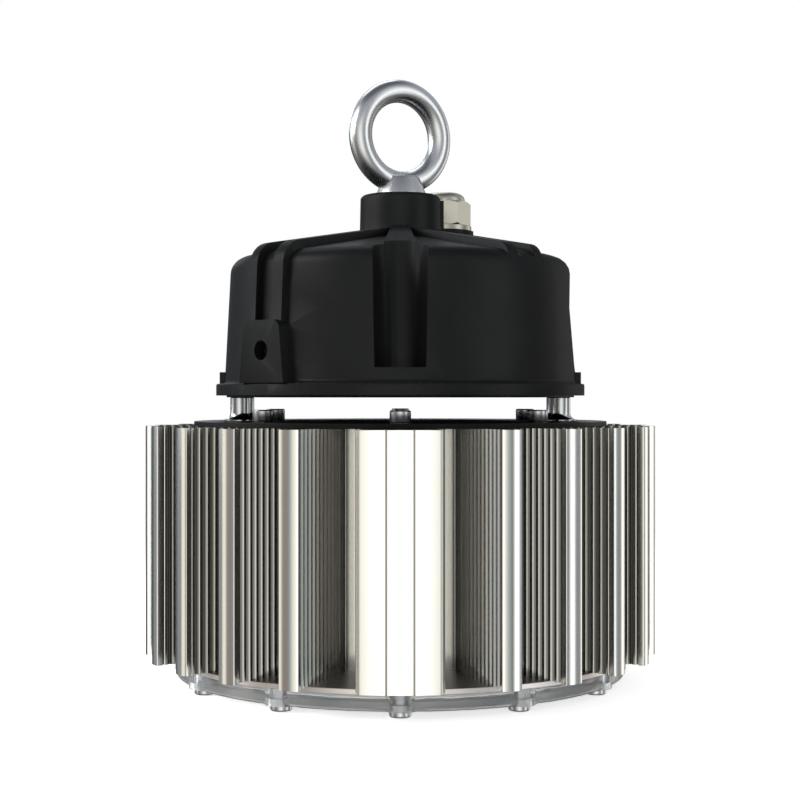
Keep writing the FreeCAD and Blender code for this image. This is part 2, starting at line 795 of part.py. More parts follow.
def make_cover():
    """The disc that closes the housing, with four posts for the driver board."""
    disc = cylinder("cover_disc", "cover_radius", "cover_thickness", COVER_BOTTOM)
    posts = [cylinder(f"post_{index}", "post_radius", "post_height + cover_thickness", COVER_BOTTOM,
                      across, along) for index, across, along in post_places()]
    bores = [cylinder(f"post_bore_{index}", "small_screw_radius + fit_gap", "post_height",
                      COVER_TOP, across, along) for index, across, along in post_places()]
    holes = long_screw_holes("cover_hole", COVER_BOTTOM, "cover_thickness")
    node("base_cover", cut("base_cover", fuse("cover_blank", disc, *posts), *bores, *holes))
    ring = turned("seal_ring", [
        ("cover_radius - seal_width", COVER_TOP),
        ("cover_radius", COVER_TOP),
        ("cover_radius", SHELL_SEAT),
        ("cover_radius - seal_width", SHELL_SEAT),
    ])
    seal_holes = long_screw_holes("seal_hole", COVER_TOP, "seal_thickness")
    node("housing_seal", cut("housing_seal", ring, *seal_holes))


# ---------------------------------------------------------------- driver housing
def make_shell_outside():
    """Flange, drafted wall, conical crown and neck, turned as one solid."""
    return turned("shell_outside", [
        ("0", FLANGE_BOTTOM),
        ("flange_radius", FLANGE_BOTTOM),
        ("flange_radius", FLANGE_TOP),
        ("shell_foot_radius", FLANGE_TOP),
        ("shell_shoulder_radius", SHOULDER),
        ("neck_radius + neck_draft", CROWN_TOP),
        ("neck_radius", NECK_TOP),
        ("0", NECK_TOP),
    ], rounds=[("shell_shoulder_radius", SHOULDER, "shell_shoulder_round"),
               ("neck_radius + neck_draft", CROWN_TOP, "neck_foot_round"),
               ("neck_radius", NECK_TOP, "neck_top_round"),
               ("flange_radius", FLANGE_TOP, "flange_edge_round"),
               ("shell_foot_radius", FLANGE_TOP, "wall_foot_round")])


def make_rib_slabs(name, azimuth, near, far):
    """Two upright slabs side by side, running along one azimuth from near to far."""
    slabs = []
    for side, hand in ((-1, "left"), (1, "right")):
        outer = f"{side} * rib_band_spread"
        inner = f"{side} * (rib_band_spread - rib_band_width)"
        low, high = (outer, inner) if side < 0 else (inner, outer)
        slab = raised(f"{name}_{hand}", "XY_Plane", [
            (low, near), (high, near), (high, far), (low, far),
        ], f"{NECK_TOP} - {FLANGE_TOP}", lift=FLANGE_TOP)
        slab.Placement = FreeCAD.Placement(ORIGIN, FreeCAD.Rotation(UP, azimuth))
        slabs.append(slab)
    return fuse(name + "s", *slabs)


def make_rib_bands():
    """Two ribs that climb the wall from tab to tab and cross the crown to the neck."""
    envelope = turned("rib_envelope", [
        ("0", FLANGE_TOP),
        ("shell_foot_radius + rib_band_height", FLANGE_TOP),
        ("shell_shoulder_radius + rib_band_height", f"{SHOULDER} + rib_band_height"),
        ("neck_radius", f"{CROWN_TOP} + rib_band_height"),
        ("0", f"{CROWN_TOP} + rib_band_height"),
    ], rounds=[("shell_shoulder_radius + rib_band_height", f"{SHOULDER} + rib_band_height",
                "shell_shoulder_round + rib_band_height")])
    common = doc.addObject("Part::Common", "rib_bands")
    common.Base = envelope
    common.Tool = make_rib_slabs("rib_slab", RIB_AZIMUTH, "-tab_reach", "tab_reach")
    return common


def make_crown_ribs():
    """The other two pairs of ribs, which start at the neck and end on the shoulder's round."""
    rim = "shell_shoulder_radius - crown_rib_inset"
    envelope = turned("crown_rib_envelope", [
        ("0", GLAND_ROOF),
        (rim, GLAND_ROOF),
        (rim, f"{SHOULDER} + rib_band_height"),
        ("neck_radius", f"{CROWN_TOP} + rib_band_height"),
        ("0", f"{CROWN_TOP} + rib_band_height"),
    ], rounds=[(rim, f"{SHOULDER} + rib_band_height", "shell_shoulder_round")])
    common = doc.addObject("Part::Common", "crown_ribs")
    common.Base = envelope
    common.Tool = make_rib_slabs("crown_rib_slab", -RIB_AZIMUTH, "-tab_reach", "tab_reach")
    return common


def make_tab(azimuth):
    """A flat-faced tab for a bracket, wider at its foot, with two rounded top corners."""
    name = f"tab_{TAB_AZIMUTHS.index(azimuth)}"
    half_low = "tab_width / 2"
    half_high = "tab_top_width / 2"
    top = f"({FLANGE_TOP} + tab_height)"
    body = raised(name, "XZ_Plane", [
        (f"-{half_low}", FLANGE_TOP), (half_low, FLANGE_TOP), (half_high, top),
        (f"-{half_high}", top),
    ], "tab_reach - shell_shoulder_radius + shell_wall * 2",
        lift="shell_shoulder_radius - shell_wall * 2")
    doc.recompute()
    edges = []
    for number, edge in enumerate(body.Tip.Shape.Edges, start=1):
        middle = edge.CenterOfMass
        along_y = abs(edge.tangentAt(edge.FirstParameter).y) > 0.99
        if along_y and middle.z > value(top) - 0.01:
            edges.append(f"Edge{number}")
    round_edge(body, name + "_corners", edges, "tab_corner")
    body.Placement = FreeCAD.Placement(ORIGIN, FreeCAD.Rotation(UP, azimuth))
    return body


def make_gusset(name, turn):
    """A wedge on the crown that widens from the neck to the back of a pocket."""
    wedge = doc.addObject("Part::Wedge", name)
    bind(wedge, Xmin="-gusset_neck_width / 2", Xmax="gusset_neck_width / 2",
         X2min="-gusset_end_width / 2", X2max="gusset_end_width / 2",
         Ymin="neck_radius - joined_depth", Ymax="pocket_circle - pocket_radius + joined_depth",
         Zmin=ROOF_BELOW, Zmax=f"{CROWN_TOP} + gusset_rise",
         Z2min=GLAND_ROOF, Z2max=f"{SHOULDER} + gusset_end_rise")
    wedge.Placement = FreeCAD.Placement(ORIGIN, FreeCAD.Rotation(UP, turn))
    return wedge


def make_driver_housing():
    lugs = [box(f"lug_{side}", "lug_reach - shell_shoulder_radius + shell_wall", "lug_width",
                "lug_height", corner, "-lug_width / 2", FLANGE_TOP)
            for side, corner in (("left", "-lug_reach"),
                                 ("right", "shell_shoulder_radius - shell_wall"))]
    gland_seat = cylinder("gland_seat", "gland_seat_radius", f"{GLAND_SEAT} - {SHOULDER}", SHOULDER,
                          "gland_across", "gland_back")
    web = box("neck_web", "web_width", "gland_back - gland_seat_radius + joined_depth",
              f"{NECK_TOP} - {SHOULDER} - web_drop", "web_place", "0", SHOULDER)
    outside = fuse("housing_outside", make_shell_outside(), make_rib_bands(), make_crown_ribs(),
                   *[make_tab(azimuth) for azimuth in TAB_AZIMUTHS],
                   make_gusset("gusset_front", 180), make_gusset("gusset_rear", 0),
                   *lugs, gland_seat, web)

    cavity = turned("shell_cavity", [
        ("0", SHELL_SEAT),
        ("shell_foot_radius - shell_wall", SHELL_SEAT),
        ("shell_shoulder_radius - shell_wall", f"{SHOULDER} - shell_wall"),
        ("roof_flat_radius", ROOF_BELOW),
        ("0", ROOF_BELOW),
    ], rounds=[("shell_shoulder_radius - shell_wall", f"{SHOULDER} - shell_wall",
                "shell_shoulder_round - shell_wall")])
    kept = [cylinder(f"boss_{name}", "boss_radius", "boss_height", SHELL_SEAT, across, along)
            for name, across, along in standoff_places()]
    pockets = []
    for name, forward in (("front", "-pocket_circle"), ("rear", "pocket_circle")):
        floor = f"({FLANGE_TOP} + pocket_floor)"
        kept.append(cylinder(f"pocket_wall_{name}", "pocket_radius + pocket_wall",
                             f"{CROWN_TOP} - {floor} + pocket_wall", f"{floor} - pocket_wall",
                             y=forward))
        pockets.append(cylinder(f"pocket_{name}", "pocket_radius", f"{NECK_TOP} - {floor}", floor,
                                y=forward))
    kept.append(cylinder("gland_inner_seat", "gland_seat_radius + joined_depth", f"{CROWN_TOP} - {GLAND_ROOF}",
                         GLAND_ROOF, "gland_across", "gland_back"))
    cavity = cut("housing_cavity", cavity, *kept)

    recess = cylinder("cover_recess", "cover_radius + hole_gap", f"{SHELL_SEAT} - {FLANGE_BOTTOM}",
                      FLANGE_BOTTOM)
    eye_hole = cylinder("eye_hole", "eye_shank_radius + hole_gap", f"{NECK_TOP} - {SHELL_SEAT}",
                        SHELL_SEAT)
    gland_hole = cylinder("gland_hole", "gland_thread_radius + fit_gap",
                          f"{GLAND_SEAT} - {GLAND_ROOF}", GLAND_ROOF,
                          "gland_across", "gland_back")
    gland_room = cylinder("gland_room", "gland_flange_radius + fit_gap", f"{NECK_TOP} - {GLAND_SEAT}",
                          GLAND_SEAT, "gland_across", "gland_back")
    boss_holes = [cylinder(f"boss_hole_{name}", "long_screw_radius + fit_gap", "boss_height - boss_end",
                           SHELL_SEAT, across, along) for name, across, along in standoff_places()]
    bracket_holes = []
    for azimuth in TAB_AZIMUTHS:
        turn = math.radians(azimuth)
        name = f"bracket_hole_{TAB_AZIMUTHS.index(azimuth)}"
        level = value(f"{FLANGE_TOP} + bracket_hole_height")
        outwards = FreeCAD.Vector(math.sin(turn), -math.cos(turn), 0)
        sideways = FreeCAD.Rotation(UP, outwards * -1)
        wall = doc.addObject("Part::Cylinder", name + "_wall")
        bind(wall, Radius="bracket_hole_radius", Height="bracket_hole_depth")
        mouth = outwards * value("tab_reach") + UP * level
        wall.Placement = FreeCAD.Placement(mouth, sideways)
        point = doc.addObject("Part::Cone", name + "_point")
        bind(point, Radius1="bracket_hole_radius", Height="drill_point")
        point.Radius2 = 0
        floor = outwards * value("tab_reach - bracket_hole_depth") + UP * level
        point.Placement = FreeCAD.Placement(floor, sideways)
        bracket_holes.append(fuse(name, wall, point))
    hollow = cut("housing_hollow", outside, cavity)
    open_below = cut("housing_open_below", hollow, recess)
    pocketed = cut("housing_pocketed", open_below, *pockets)
    drilled = cut("housing_drilled", pocketed, *boss_holes)
    drilled = cut("housing_tapped", drilled, *bracket_holes)
    housing = cut("driver_housing", drilled, fuse("housing_top_holes", eye_hole, gland_hole, gland_room))
    return node("driver_housing", housing)


# ---------------------------------------------------------------- hanging eye
def make_eye():
    collar_low = NECK_TOP
    collar_high = f"{NECK_TOP} + eye_collar_height"
    tip = f"({ROOF_BELOW} - eye_washer_thickness - eye_nut_height - eye_tip_show)"
    stem = turned("eye_stem", [
        ("0", tip),
        ("eye_shank_radius", tip),
        ("eye_shank_radius", collar_low),
        ("eye_collar_radius", collar_low),
        ("eye_collar_radius", f"{collar_low} + eye_collar_rim"),
        ("eye_collar_top_radius", collar_high),
        ("0", collar_high),
    ])
    ring = doc.addObject("Part::Torus", "eye_ring")
    bind(ring, Radius1="eye_ring_radius", Radius2="eye_section_radius")
    upright = FreeCAD.Rotation(AXIS_X, 90)
    ring.Placement = FreeCAD.Placement(ORIGIN, FreeCAD.Rotation(UP, EYE_TURN).multiply(upright))
    place(ring, z=EYE_CENTRE)
    node("eye_bolt", fuse("eye_bolt", stem, ring))

    washer_low = f"({ROOF_BELOW} - eye_washer_thickness)"
    washer = cylinder("eye_washer_disc", "eye_washer_radius", "eye_washer_thickness", washer_low)
    washer_hole = cylinder("eye_washer_hole", "eye_shank_radius + hole_gap", "eye_washer_thickness",
                           washer_low)
    node("eye_washer", cut("eye_washer", washer, washer_hole))
    nut_low = f"({washer_low} - eye_nut_height)"
    nut = hexagon("eye_nut_blank", "eye_nut_width", "eye_nut_height", nut_low)
    nut_hole = cylinder("eye_nut_hole", "eye_shank_radius + fit_gap", "eye_nut_height", nut_low)
    node("eye_nut", cut("eye_nut", nut, nut_hole))


# ---------------------------------------------------------------- cable gland
def make_gland():
    """Body through the crown, a domed hexagon nut on it, a seal inside and a locknut below."""
    x, y = "gland_across", "gland_back"
    thread_low = f"({GLAND_ROOF} - gland_locknut_height - gland_tip_show)"
    flange_top = f"({GLAND_SEAT} + gland_flange_height)"
    hex_top = f"({flange_top} + gland_hex_height)"
    thread_top = f"({flange_top} + gland_thread_in_nut)"
    stem = cylinder("gland_stem", "gland_thread_radius", f"{thread_top} - {thread_low}", thread_low,
                    x, y)
    flange = cylinder("gland_flange", "gland_flange_radius", "gland_flange_height", GLAND_SEAT, x, y)
    bore = cylinder("gland_bore", "gland_bore_radius", f"{thread_top} - {thread_low}", thread_low,
                    x, y)
    node("gland_body", cut("gland_body", fuse("gland_body_blank", stem, flange), bore))

    hexagon_part = hexagon("gland_nut_hexagon", "gland_hex_width", "gland_hex_height", flange_top,
                           x, y)
    dome_top = f"({hex_top} + gland_dome_height)"
    dome = turned("gland_nut_dome", [
        ("0", flange_top),
        ("gland_dome_radius", flange_top),
        ("gland_dome_radius", dome_top),
        ("0", dome_top),
    ], rounds=[("gland_dome_radius", dome_top, "gland_dome_round")])
    place(dome, x, y)
    room = cylinder("gland_nut_room", "gland_thread_radius + fit_gap", "gland_hex_height", flange_top,
                    x, y)
    entry = cylinder("gland_nut_entry", "gland_entry_radius", "gland_dome_height", hex_top, x, y)
    node("gland_nut", cut("gland_nut", fuse("gland_nut_blank", hexagon_part, dome), room, entry))

    seal = cylinder("gland_seal_plug", "gland_thread_radius", f"{hex_top} - {thread_top}", thread_top,
                    x, y)
    cable_hole = cylinder("gland_cable_hole", "cable_radius", f"{hex_top} - {thread_top}",
                          thread_top, x, y)
    node("gland_seal", cut("gland_seal", seal, cable_hole))

    locknut_low = f"({GLAND_ROOF} - gland_locknut_height)"
    locknut = hexagon("gland_locknut_blank", "gland_hex_width", "gland_locknut_height", locknut_low,
                      x, y)
    locknut_hole = cylinder("gland_locknut_hole", "gland_thread_radius + fit_gap",
                            "gland_locknut_height", locknut_low, x, y)
    node("gland_locknut", cut("gland_locknut", locknut, locknut_hole))


# ---------------------------------------------------------------- driver
def make_driver():
    """The supply inside the housing: a round board on the cover's posts, and its large parts."""
    board = cylinder("driver_board_disc", "driver_board_radius", "driver_board_thickness", BOARD_SEAT)
    holes = [cylinder(f"driver_board_hole_{index}", "small_screw_radius + fit_gap",
                      "driver_board_thickness", BOARD_SEAT, across, along)
             for index, across, along in post_places()]
    node("driver_board", cut("driver_board", board, *holes))
    screws = doc.addObject("Part::Compound", "driver_board_screws")
    screws.Links = [pan_screw(f"driver_board_screw_{index}", BOARD_TOP,
                              "driver_board_thickness + post_height", across, along, True)
                    for index, across, along in post_places()]
    node("driver_board_screws", screws)
    node("driver_transformer", box("driver_transformer", "transformer_length", "transformer_width",
                                   "transformer_height", "-transformer_length / 2",
                                   "-transformer_width / 2", BOARD_TOP))
    capacitors = doc.addObject("Part::Compound", "driver_capacitors")
    capacitors.Links = [
        cylinder(f"driver_capacitor_{index}", "capacitor_radius", "capacitor_height", BOARD_TOP,
                 f"{side} * (capacitor_radius + driver_part_gap / 2)",
                 "-transformer_width / 2 - capacitor_radius - driver_part_gap")
        for index, side in enumerate((-1, 1))]
    node("driver_capacitors", capacitors)
    node("driver_terminals", box("driver_terminals", "terminal_length", "terminal_width",
                                 "terminal_height", "-terminal_length / 2",
                                 "transformer_width / 2 + driver_part_gap", BOARD_TOP))


# ---------------------------------------------------------------- build, check and write
make_heat_sink()
make_carrier()
make_light_source()
make_lens()
make_top_plate()
make_standoffs()
make_cover()
make_driver_housing()
make_eye()
make_gland()
make_driver()
doc.recompute()

for item in doc.Objects:
    if "Invalid" in item.State or "Error" in item.State:
        raise RuntimeError(f"{item.Name} failed: {item.State}")
for item in nodes:
    if item.Shape.isNull() or not item.Shape.isValid():
        raise RuntimeError(f"{item.Label} has no valid shape")

os.makedirs("parts", exist_ok=True)
for item in nodes:
    item.Shape.exportStep(f"parts/{item.Label}.step")
    print(f"{item.Label}: {len(item.Shape.Solids)} solids, {item.Shape.Volume / 1000:.2f} cm3")
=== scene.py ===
import math

import bmesh
import bpy
import numpy as np
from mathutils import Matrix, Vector
from mathutils.geometry import tessellate_polygon


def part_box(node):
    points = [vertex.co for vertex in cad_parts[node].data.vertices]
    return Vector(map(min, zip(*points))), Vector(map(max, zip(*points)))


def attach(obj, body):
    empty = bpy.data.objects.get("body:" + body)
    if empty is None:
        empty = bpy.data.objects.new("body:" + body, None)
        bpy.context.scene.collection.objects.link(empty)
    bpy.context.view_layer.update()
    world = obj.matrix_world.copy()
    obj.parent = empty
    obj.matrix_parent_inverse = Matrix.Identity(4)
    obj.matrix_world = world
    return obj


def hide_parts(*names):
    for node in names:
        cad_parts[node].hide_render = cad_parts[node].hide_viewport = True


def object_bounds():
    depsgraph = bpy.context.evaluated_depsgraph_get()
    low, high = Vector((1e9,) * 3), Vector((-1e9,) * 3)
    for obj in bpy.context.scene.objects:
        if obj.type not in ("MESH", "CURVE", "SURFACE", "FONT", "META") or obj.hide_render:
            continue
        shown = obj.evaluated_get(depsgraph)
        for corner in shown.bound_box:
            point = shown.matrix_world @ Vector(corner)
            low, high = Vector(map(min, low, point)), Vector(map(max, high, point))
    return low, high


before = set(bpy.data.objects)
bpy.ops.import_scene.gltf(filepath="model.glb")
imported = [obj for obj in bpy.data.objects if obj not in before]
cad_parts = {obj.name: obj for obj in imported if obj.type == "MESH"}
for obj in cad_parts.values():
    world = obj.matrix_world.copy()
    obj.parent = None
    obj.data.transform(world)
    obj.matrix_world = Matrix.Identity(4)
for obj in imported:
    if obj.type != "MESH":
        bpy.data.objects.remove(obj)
cad_low, cad_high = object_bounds()
scene = bpy.context.scene
scene.view_settings.view_transform = "Standard"


# ------------------------------------------------------------------ studio
# A pale floor under the lens screws, five soft lamps and a camera at half the light's
# height, straight in front. The room is white to the eye, but metal reflects another
# one in its place, with windows and dark or bluish screens between them.
class Signal:
    """An output of a node. Arithmetic on it, from either side, adds Math nodes."""

    def __init__(self, finish, socket):
        self.finish = finish
        self.socket = socket

    def of(self, operation, *others):
        return self.finish.node("Math", {"operation": operation}, [self, *others])

    def __add__(self, other):
        return self.of("ADD", other)

    def __sub__(self, other):
        return self.of("SUBTRACT", other)

    def __rsub__(self, other):
        return self.finish.node("Math", {"operation": "SUBTRACT"}, [other, self])

    def __mul__(self, other):
        return self.of("MULTIPLY", other)

    def __truediv__(self, other):
        return self.of("DIVIDE", other)

    def __rtruediv__(self, other):
        return self.finish.node("Math", {"operation": "DIVIDE"}, [other, self])

    def __pow__(self, other):
        return self.of("POWER", other)

    __radd__ = __add__
    __rmul__ = __mul__


class Finish:
    """A procedural finish: a node tree whose nodes are all added by one method."""

    def __init__(self, name, holder=None):
        self.holder = holder or bpy.data.materials.new(name)
        self.holder.use_nodes = True
        self.tree = self.holder.node_tree
        self.tree.nodes.clear()

    def node(self, kind, settings, values, output=0):
        """Adds a node of a type, sets its settings, then each value or link of its sockets."""
        made = self.tree.nodes.new("ShaderNode" + kind)
        for key, setting in settings.items():
            if key == "stops":
                ramp = made.color_ramp
                while len(ramp.elements) < len(setting):
                    ramp.elements.new(0.5)
                for element, (place, colour) in zip(ramp.elements, setting):
                    element.position = place
                    element.color = (*colour, 1)
            else:
                setattr(made, key, setting)
        named = values.items() if isinstance(values, dict) else enumerate(values)
        for key, given in named:
            if isinstance(given, Signal):
                self.tree.links.new(given.socket, made.inputs[key])
            else:
                if isinstance(given, tuple) and made.inputs[key].type == "RGBA":
                    given = (*given, 1)
                made.inputs[key].default_value = given
        return Signal(self, made.outputs[output]) if len(made.outputs) else made

    def spots(self, scale, stretch=(1, 1, 1), detail=2.0, roughness=0.5):
        """Noise on the piece's own coordinates, with a size of about 1 / scale metres."""
        place = self.node("TexCoord", {}, {}, "Object")
        drawn = self.node("Mapping", {}, {"Vector": place, "Scale": stretch})
        return self.node("TexNoise", {}, {"Vector": drawn, "Scale": scale, "Detail": detail,
                                          "Roughness": roughness})

    def blend(self, factor, one, other):
        """One colour where the factor is 0, the other where it is 1."""
        return self.node("Mix", {"data_type": "RGBA"}, {0: factor, 6: one, 7: other}, 2)

    def grain(self, height, depth, strength=1.0):
        """A bump of the given depth in metres."""
        return self.node("Bump", {}, {"Strength": strength, "Distance": depth, "Height": height})

    def coat(self, **values):
        """The Principled shader of this finish, joined to its output."""
        names = {key.replace("_", " ").title().replace("Ior", "IOR"): given
                 for key, given in values.items()}
        self.shown(self.node("BsdfPrincipled", {}, names))

    def shown(self, shader, output="OutputMaterial"):
        self.node(output, {}, {"Surface": shader})


def azimuth_stop(degrees, colour):
    """A ramp stop for a direction from the front, positive to the right."""
    return (degrees / 360 + 0.5, colour)


room = Finish("room", bpy.data.worlds.new("room"))
scene.world = room.holder
looking = room.node("TexCoord", {}, {}, "Generated")
parts = room.node("SeparateXYZ", {}, [looking])
across = Signal(room, parts.socket.node.outputs[0])
along = Signal(room, parts.socket.node.outputs[1])
upwards = Signal(room, parts.socket.node.outputs[2])
turn = room.node("Math", {"operation": "ARCTAN2"}, [across, along * -1.0]) / (2 * math.pi) + 0.5
WHITE, WINDOW, CREAM = (1.0,) * 3, (2.3, 2.3, 2.25), (1.5, 1.43, 1.27)
TAUPE, STEEL_BLUE, MIST = (0.40, 0.34, 0.31), (0.37, 0.45, 0.49), (0.66, 0.72, 0.69)
SLATE, SHADE, BROWN = (0.10, 0.11, 0.11), (0.03, 0.03, 0.028), (0.055, 0.045, 0.035)
CEILING, ZENITH, GROUND = (0.72, 0.73, 0.80), (0.20, 0.215, 0.23), (0.24, 0.235, 0.225)
AMBIENT = (0.60, 0.61, 0.63)
walls = room.node("ValToRGB", {"stops": [
    azimuth_stop(-180, SHADE),
    azimuth_stop(-160, SLATE),
    azimuth_stop(-138, SLATE),
    azimuth_stop(-122, STEEL_BLUE),
    azimuth_stop(-100, TAUPE),
    azimuth_stop(-92, CREAM),
    azimuth_stop(-80, CREAM),
    azimuth_stop(-72, TAUPE),
    azimuth_stop(-50, TAUPE),
    azimuth_stop(-42, STEEL_BLUE),
    azimuth_stop(-24, CREAM),
    azimuth_stop(-16, CREAM),
    azimuth_stop(-11, WINDOW),
    azimuth_stop(10, WINDOW),
    azimuth_stop(17, CREAM),
    azimuth_stop(30, MIST),
    azimuth_stop(42, STEEL_BLUE),
    azimuth_stop(48, BROWN),
    azimuth_stop(60, WINDOW),
    azimuth_stop(72, WINDOW),
    azimuth_stop(82, STEEL_BLUE),
    azimuth_stop(108, TAUPE),
    azimuth_stop(122, WINDOW),
    azimuth_stop(134, CREAM),
    azimuth_stop(150, SLATE),
    azimuth_stop(180, SHADE),
]}, [turn])
ceiling = room.node("MapRange", {"interpolation_type": "SMOOTHSTEP"},
                    {"Value": upwards, "From Min": 0.15, "From Max": 0.55})
ground = room.node("MapRange", {"interpolation_type": "SMOOTHSTEP"},
                   {"Value": upwards, "From Min": -0.20, "From Max": -0.55})
seen = room.blend(ceiling, walls, CEILING)
zenith = room.node("MapRange", {"interpolation_type": "SMOOTHSTEP"},
                   {"Value": upwards, "From Min": 0.70, "From Max": 0.92})
seen = room.blend(zenith, seen, ZENITH)
seen = room.blend(ground, seen, GROUND)
kind_of_ray = room.node("LightPath", {}, {}, "Is Glossy Ray")
rays = kind_of_ray.socket.node.outputs
lit = room.blend(kind_of_ray, AMBIENT, seen)
direct = Signal(room, rays["Is Camera Ray"]).of(
    "MAXIMUM", Signal(room, rays["Is Transmission Ray"]))
room.shown(room.node("Background", {}, [room.blend(direct, lit, WHITE), 1.0]), "OutputWorld")
scene.world.cycles.sampling_method = "NONE"

FLOOR_REACH = 6.0
FLOOR_SIDES = 96
FLOOR_DROP = 0.0003
PAPER_GREY = 0.74
FLOOR_GLOW = 0.72
GLOW_FADE = (0.20, 0.75)
around = np.linspace(0, 2 * np.pi, FLOOR_SIDES, endpoint=False)
floor_mesh = bpy.data.meshes.new("studio_floor")
floor_mesh.from_pydata(
    np.stack([FLOOR_REACH * np.cos(around), FLOOR_REACH * np.sin(around),
              np.full(FLOOR_SIDES, cad_low.z - FLOOR_DROP)], 1).tolist(),
    [], [list(range(FLOOR_SIDES))])
floor = bpy.data.objects.new("studio_floor", floor_mesh)
scene.collection.objects.link(floor)
paper = Finish("white_paper")
matt = paper.node("BsdfDiffuse", {}, {"Color": (PAPER_GREY,) * 3})
path = paper.node("LightPath", {}, {}, "Is Camera Ray")
seen_rays = path.socket.node.outputs
clear_rays = (path.of("MAXIMUM", Signal(paper, seen_rays["Is Glossy Ray"]))
              .of("MAXIMUM", Signal(paper, seen_rays["Is Transmission Ray"])))
glow = paper.node("Emission", {}, {"Color": WHITE, "Strength": clear_rays * FLOOR_GLOW})
near = paper.node("AddShader", {}, [matt, glow])
place = paper.node("TexCoord", {}, {}, "Object")
reach = paper.node("VectorMath", {"operation": "LENGTH"}, [place], 1)
far = paper.node("MapRange", {"interpolation_type": "SMOOTHSTEP"},
                 {"Value": reach, "From Min": GLOW_FADE[0], "From Max": GLOW_FADE[1]})
plain = paper.node("Emission", {}, {"Color": WHITE, "Strength": 1.0})
paper.shown(paper.node("MixShader", {}, [far * clear_rays, near, plain]))
floor_mesh.materials.append(paper.holder)
floor.visible_glossy = False

LAMPS = (
    # name, place, aimed at height, width, height, power, colour
    ("window_left", (-1.93, -0.55, 1.15), 0.13, 1.3, 1.3, 34.0, (1.0, 0.985, 0.96)),
    ("window_right", (1.7, -1.0, 0.9), 0.13, 1.2, 1.4, 4.0, (1.0, 0.98, 0.95)),
    ("skylight", (-0.35, 0.9, 1.7), 0.16, 1.2, 0.8, 8.0, (0.93, 0.96, 1.0)),
    ("back_screen", (-0.5, 2.3, 0.95), 0.18, 2.2, 0.5, 9.0, (0.90, 0.94, 1.0)),
    ("left_screen", (-1.95, 0.55, 0.7), 0.18, 0.9, 1.1, 11.0, (0.92, 0.96, 1.0)),
)
for name, spot, aim, width, height, power, colour in LAMPS:
    lamp = bpy.data.lights.new(name, "AREA")
    lamp.shape, lamp.size, lamp.size_y = "RECTANGLE", width, height
    lamp.energy, lamp.color = power, colour
    held = bpy.data.objects.new(name, lamp)
    held.location = spot
    held.rotation_mode = "QUATERNION"
    held.rotation_quaternion = (Vector((0, 0, aim)) - Vector(spot)).to_track_quat("-Z", "Y")
    scene.collection.objects.link(held)

CAMERA_DISTANCE = 0.687
CAMERA_HEIGHT = 0.1202
FOCAL_LENGTH, SENSOR_WIDTH = 70.7, 36.0
FRAME_SHIFT = (-0.0004, -0.00125)
camera = bpy.data.cameras.new("camera")
camera.lens, camera.sensor_width = FOCAL_LENGTH, SENSOR_WIDTH
camera.shift_x, camera.shift_y = FRAME_SHIFT
camera.clip_start, camera.clip_end = 0.01, 50
stand = bpy.data.objects.new("camera", camera)
stand.location = (0, -CAMERA_DISTANCE, CAMERA_HEIGHT)
stand.rotation_euler = (math.pi / 2, 0, 0)
scene.collection.objects.link(stand)
scene.camera = stand


# ------------------------------------------------------------------ heat sink
# One aluminium extrusion, sawn to length and left bare: a solid hub, twenty-four
# ribbed fins with a domed bar across each tip, screw ports, and a closed panel at
# the front and at the rear. Its surface has the die's fine lines along the length.
MM = 0.001
FINS, RIBS = 24, 11
SINK_R, HUB_R, FIN_HALF = 109.985, 61.0, 1.5
BAR_IN, BAR_SHOULDER, BAR_HALF = 107.0, 109.2, 4.15
RIB_PITCH, RIB_TIP, RIB_HIGH = 3.5, 0.6, 1.4
PORT_AT, PORT_BORE, PORT_WALL, PORT_SLOT = 66.0, 2.6, 4.9, 1.0
HUB_SLOT_HALF, HUB_SLOT_DEEP = 2.2, 3.0
GROOVE_IN, GROOVE_OUT, GROOVE_DEEP = 4.9, 5.5, 0.6
PANEL_ROUND, PANEL_FLANK, PANEL_WALL = 1.4, 3.5, 2.2
LEAD_BORE = 9.0


def around_hub(points, azimuth):
    """Rows of (radius, sideways, ease), turned to an azimuth from the front: x is
    r sin a + s cos a and y is s sin a - r cos a, with the ease kept."""
    points = np.asarray(points, float)
    turned_by = math.radians(azimuth)
    r, s = points[:, 0], points[:, 1]
    return np.stack([r * math.sin(turned_by) + s * math.cos(turned_by),
                     s * math.sin(turned_by) - r * math.cos(turned_by), points[:, 2]], 1)


def fin_side(side):
    """A ribbed fin side from hub to bar: for each rib a valley, and the two corners
    of its tip, all at equal pitches inwards from the bar."""
    centre = BAR_IN - RIB_PITCH * (RIBS - 0.5 - np.arange(RIBS))
    radius = centre[:, None] + np.array([-RIB_PITCH / 2, -RIB_TIP, RIB_TIP])
    sideways = np.tile([FIN_HALF, FIN_HALF + RIB_HIGH, FIN_HALF + RIB_HIGH], RIBS)
    rows = np.stack([radius.ravel(), side * sideways, np.tile([0.25, 0.28, 0.28], RIBS)], 1)
    return np.vstack([rows, [BAR_IN, side * FIN_HALF, 0.2]])


def arc_rows(centre, radius, start, end, count, ease=0.0):
    """Rows on a circle about (centre, 0), by the angle from the outward radius."""
    angle = np.radians(np.linspace(start, end, count))
    return np.stack([centre + radius * np.cos(angle), radius * np.sin(angle),
                     np.full(count, ease)], 1)


def tip_bar():
    """The bar across a fin's tip: square inner corners, eased shoulders and an outer
    face that is an arc through both shoulders and the fin's full radius."""
    rise = SINK_R - BAR_SHOULDER
    dome = (BAR_HALF ** 2 + rise ** 2) / (2 * rise)
    spread = math.degrees(math.asin(BAR_HALF / dome))
    face = arc_rows(SINK_R - dome, dome, -spread, spread, 17)
    face[[0, -1], 2] = 0.3
    return np.vstack([[BAR_IN, -BAR_HALF, 0.3], face, [BAR_IN, BAR_HALF, 0.3]])


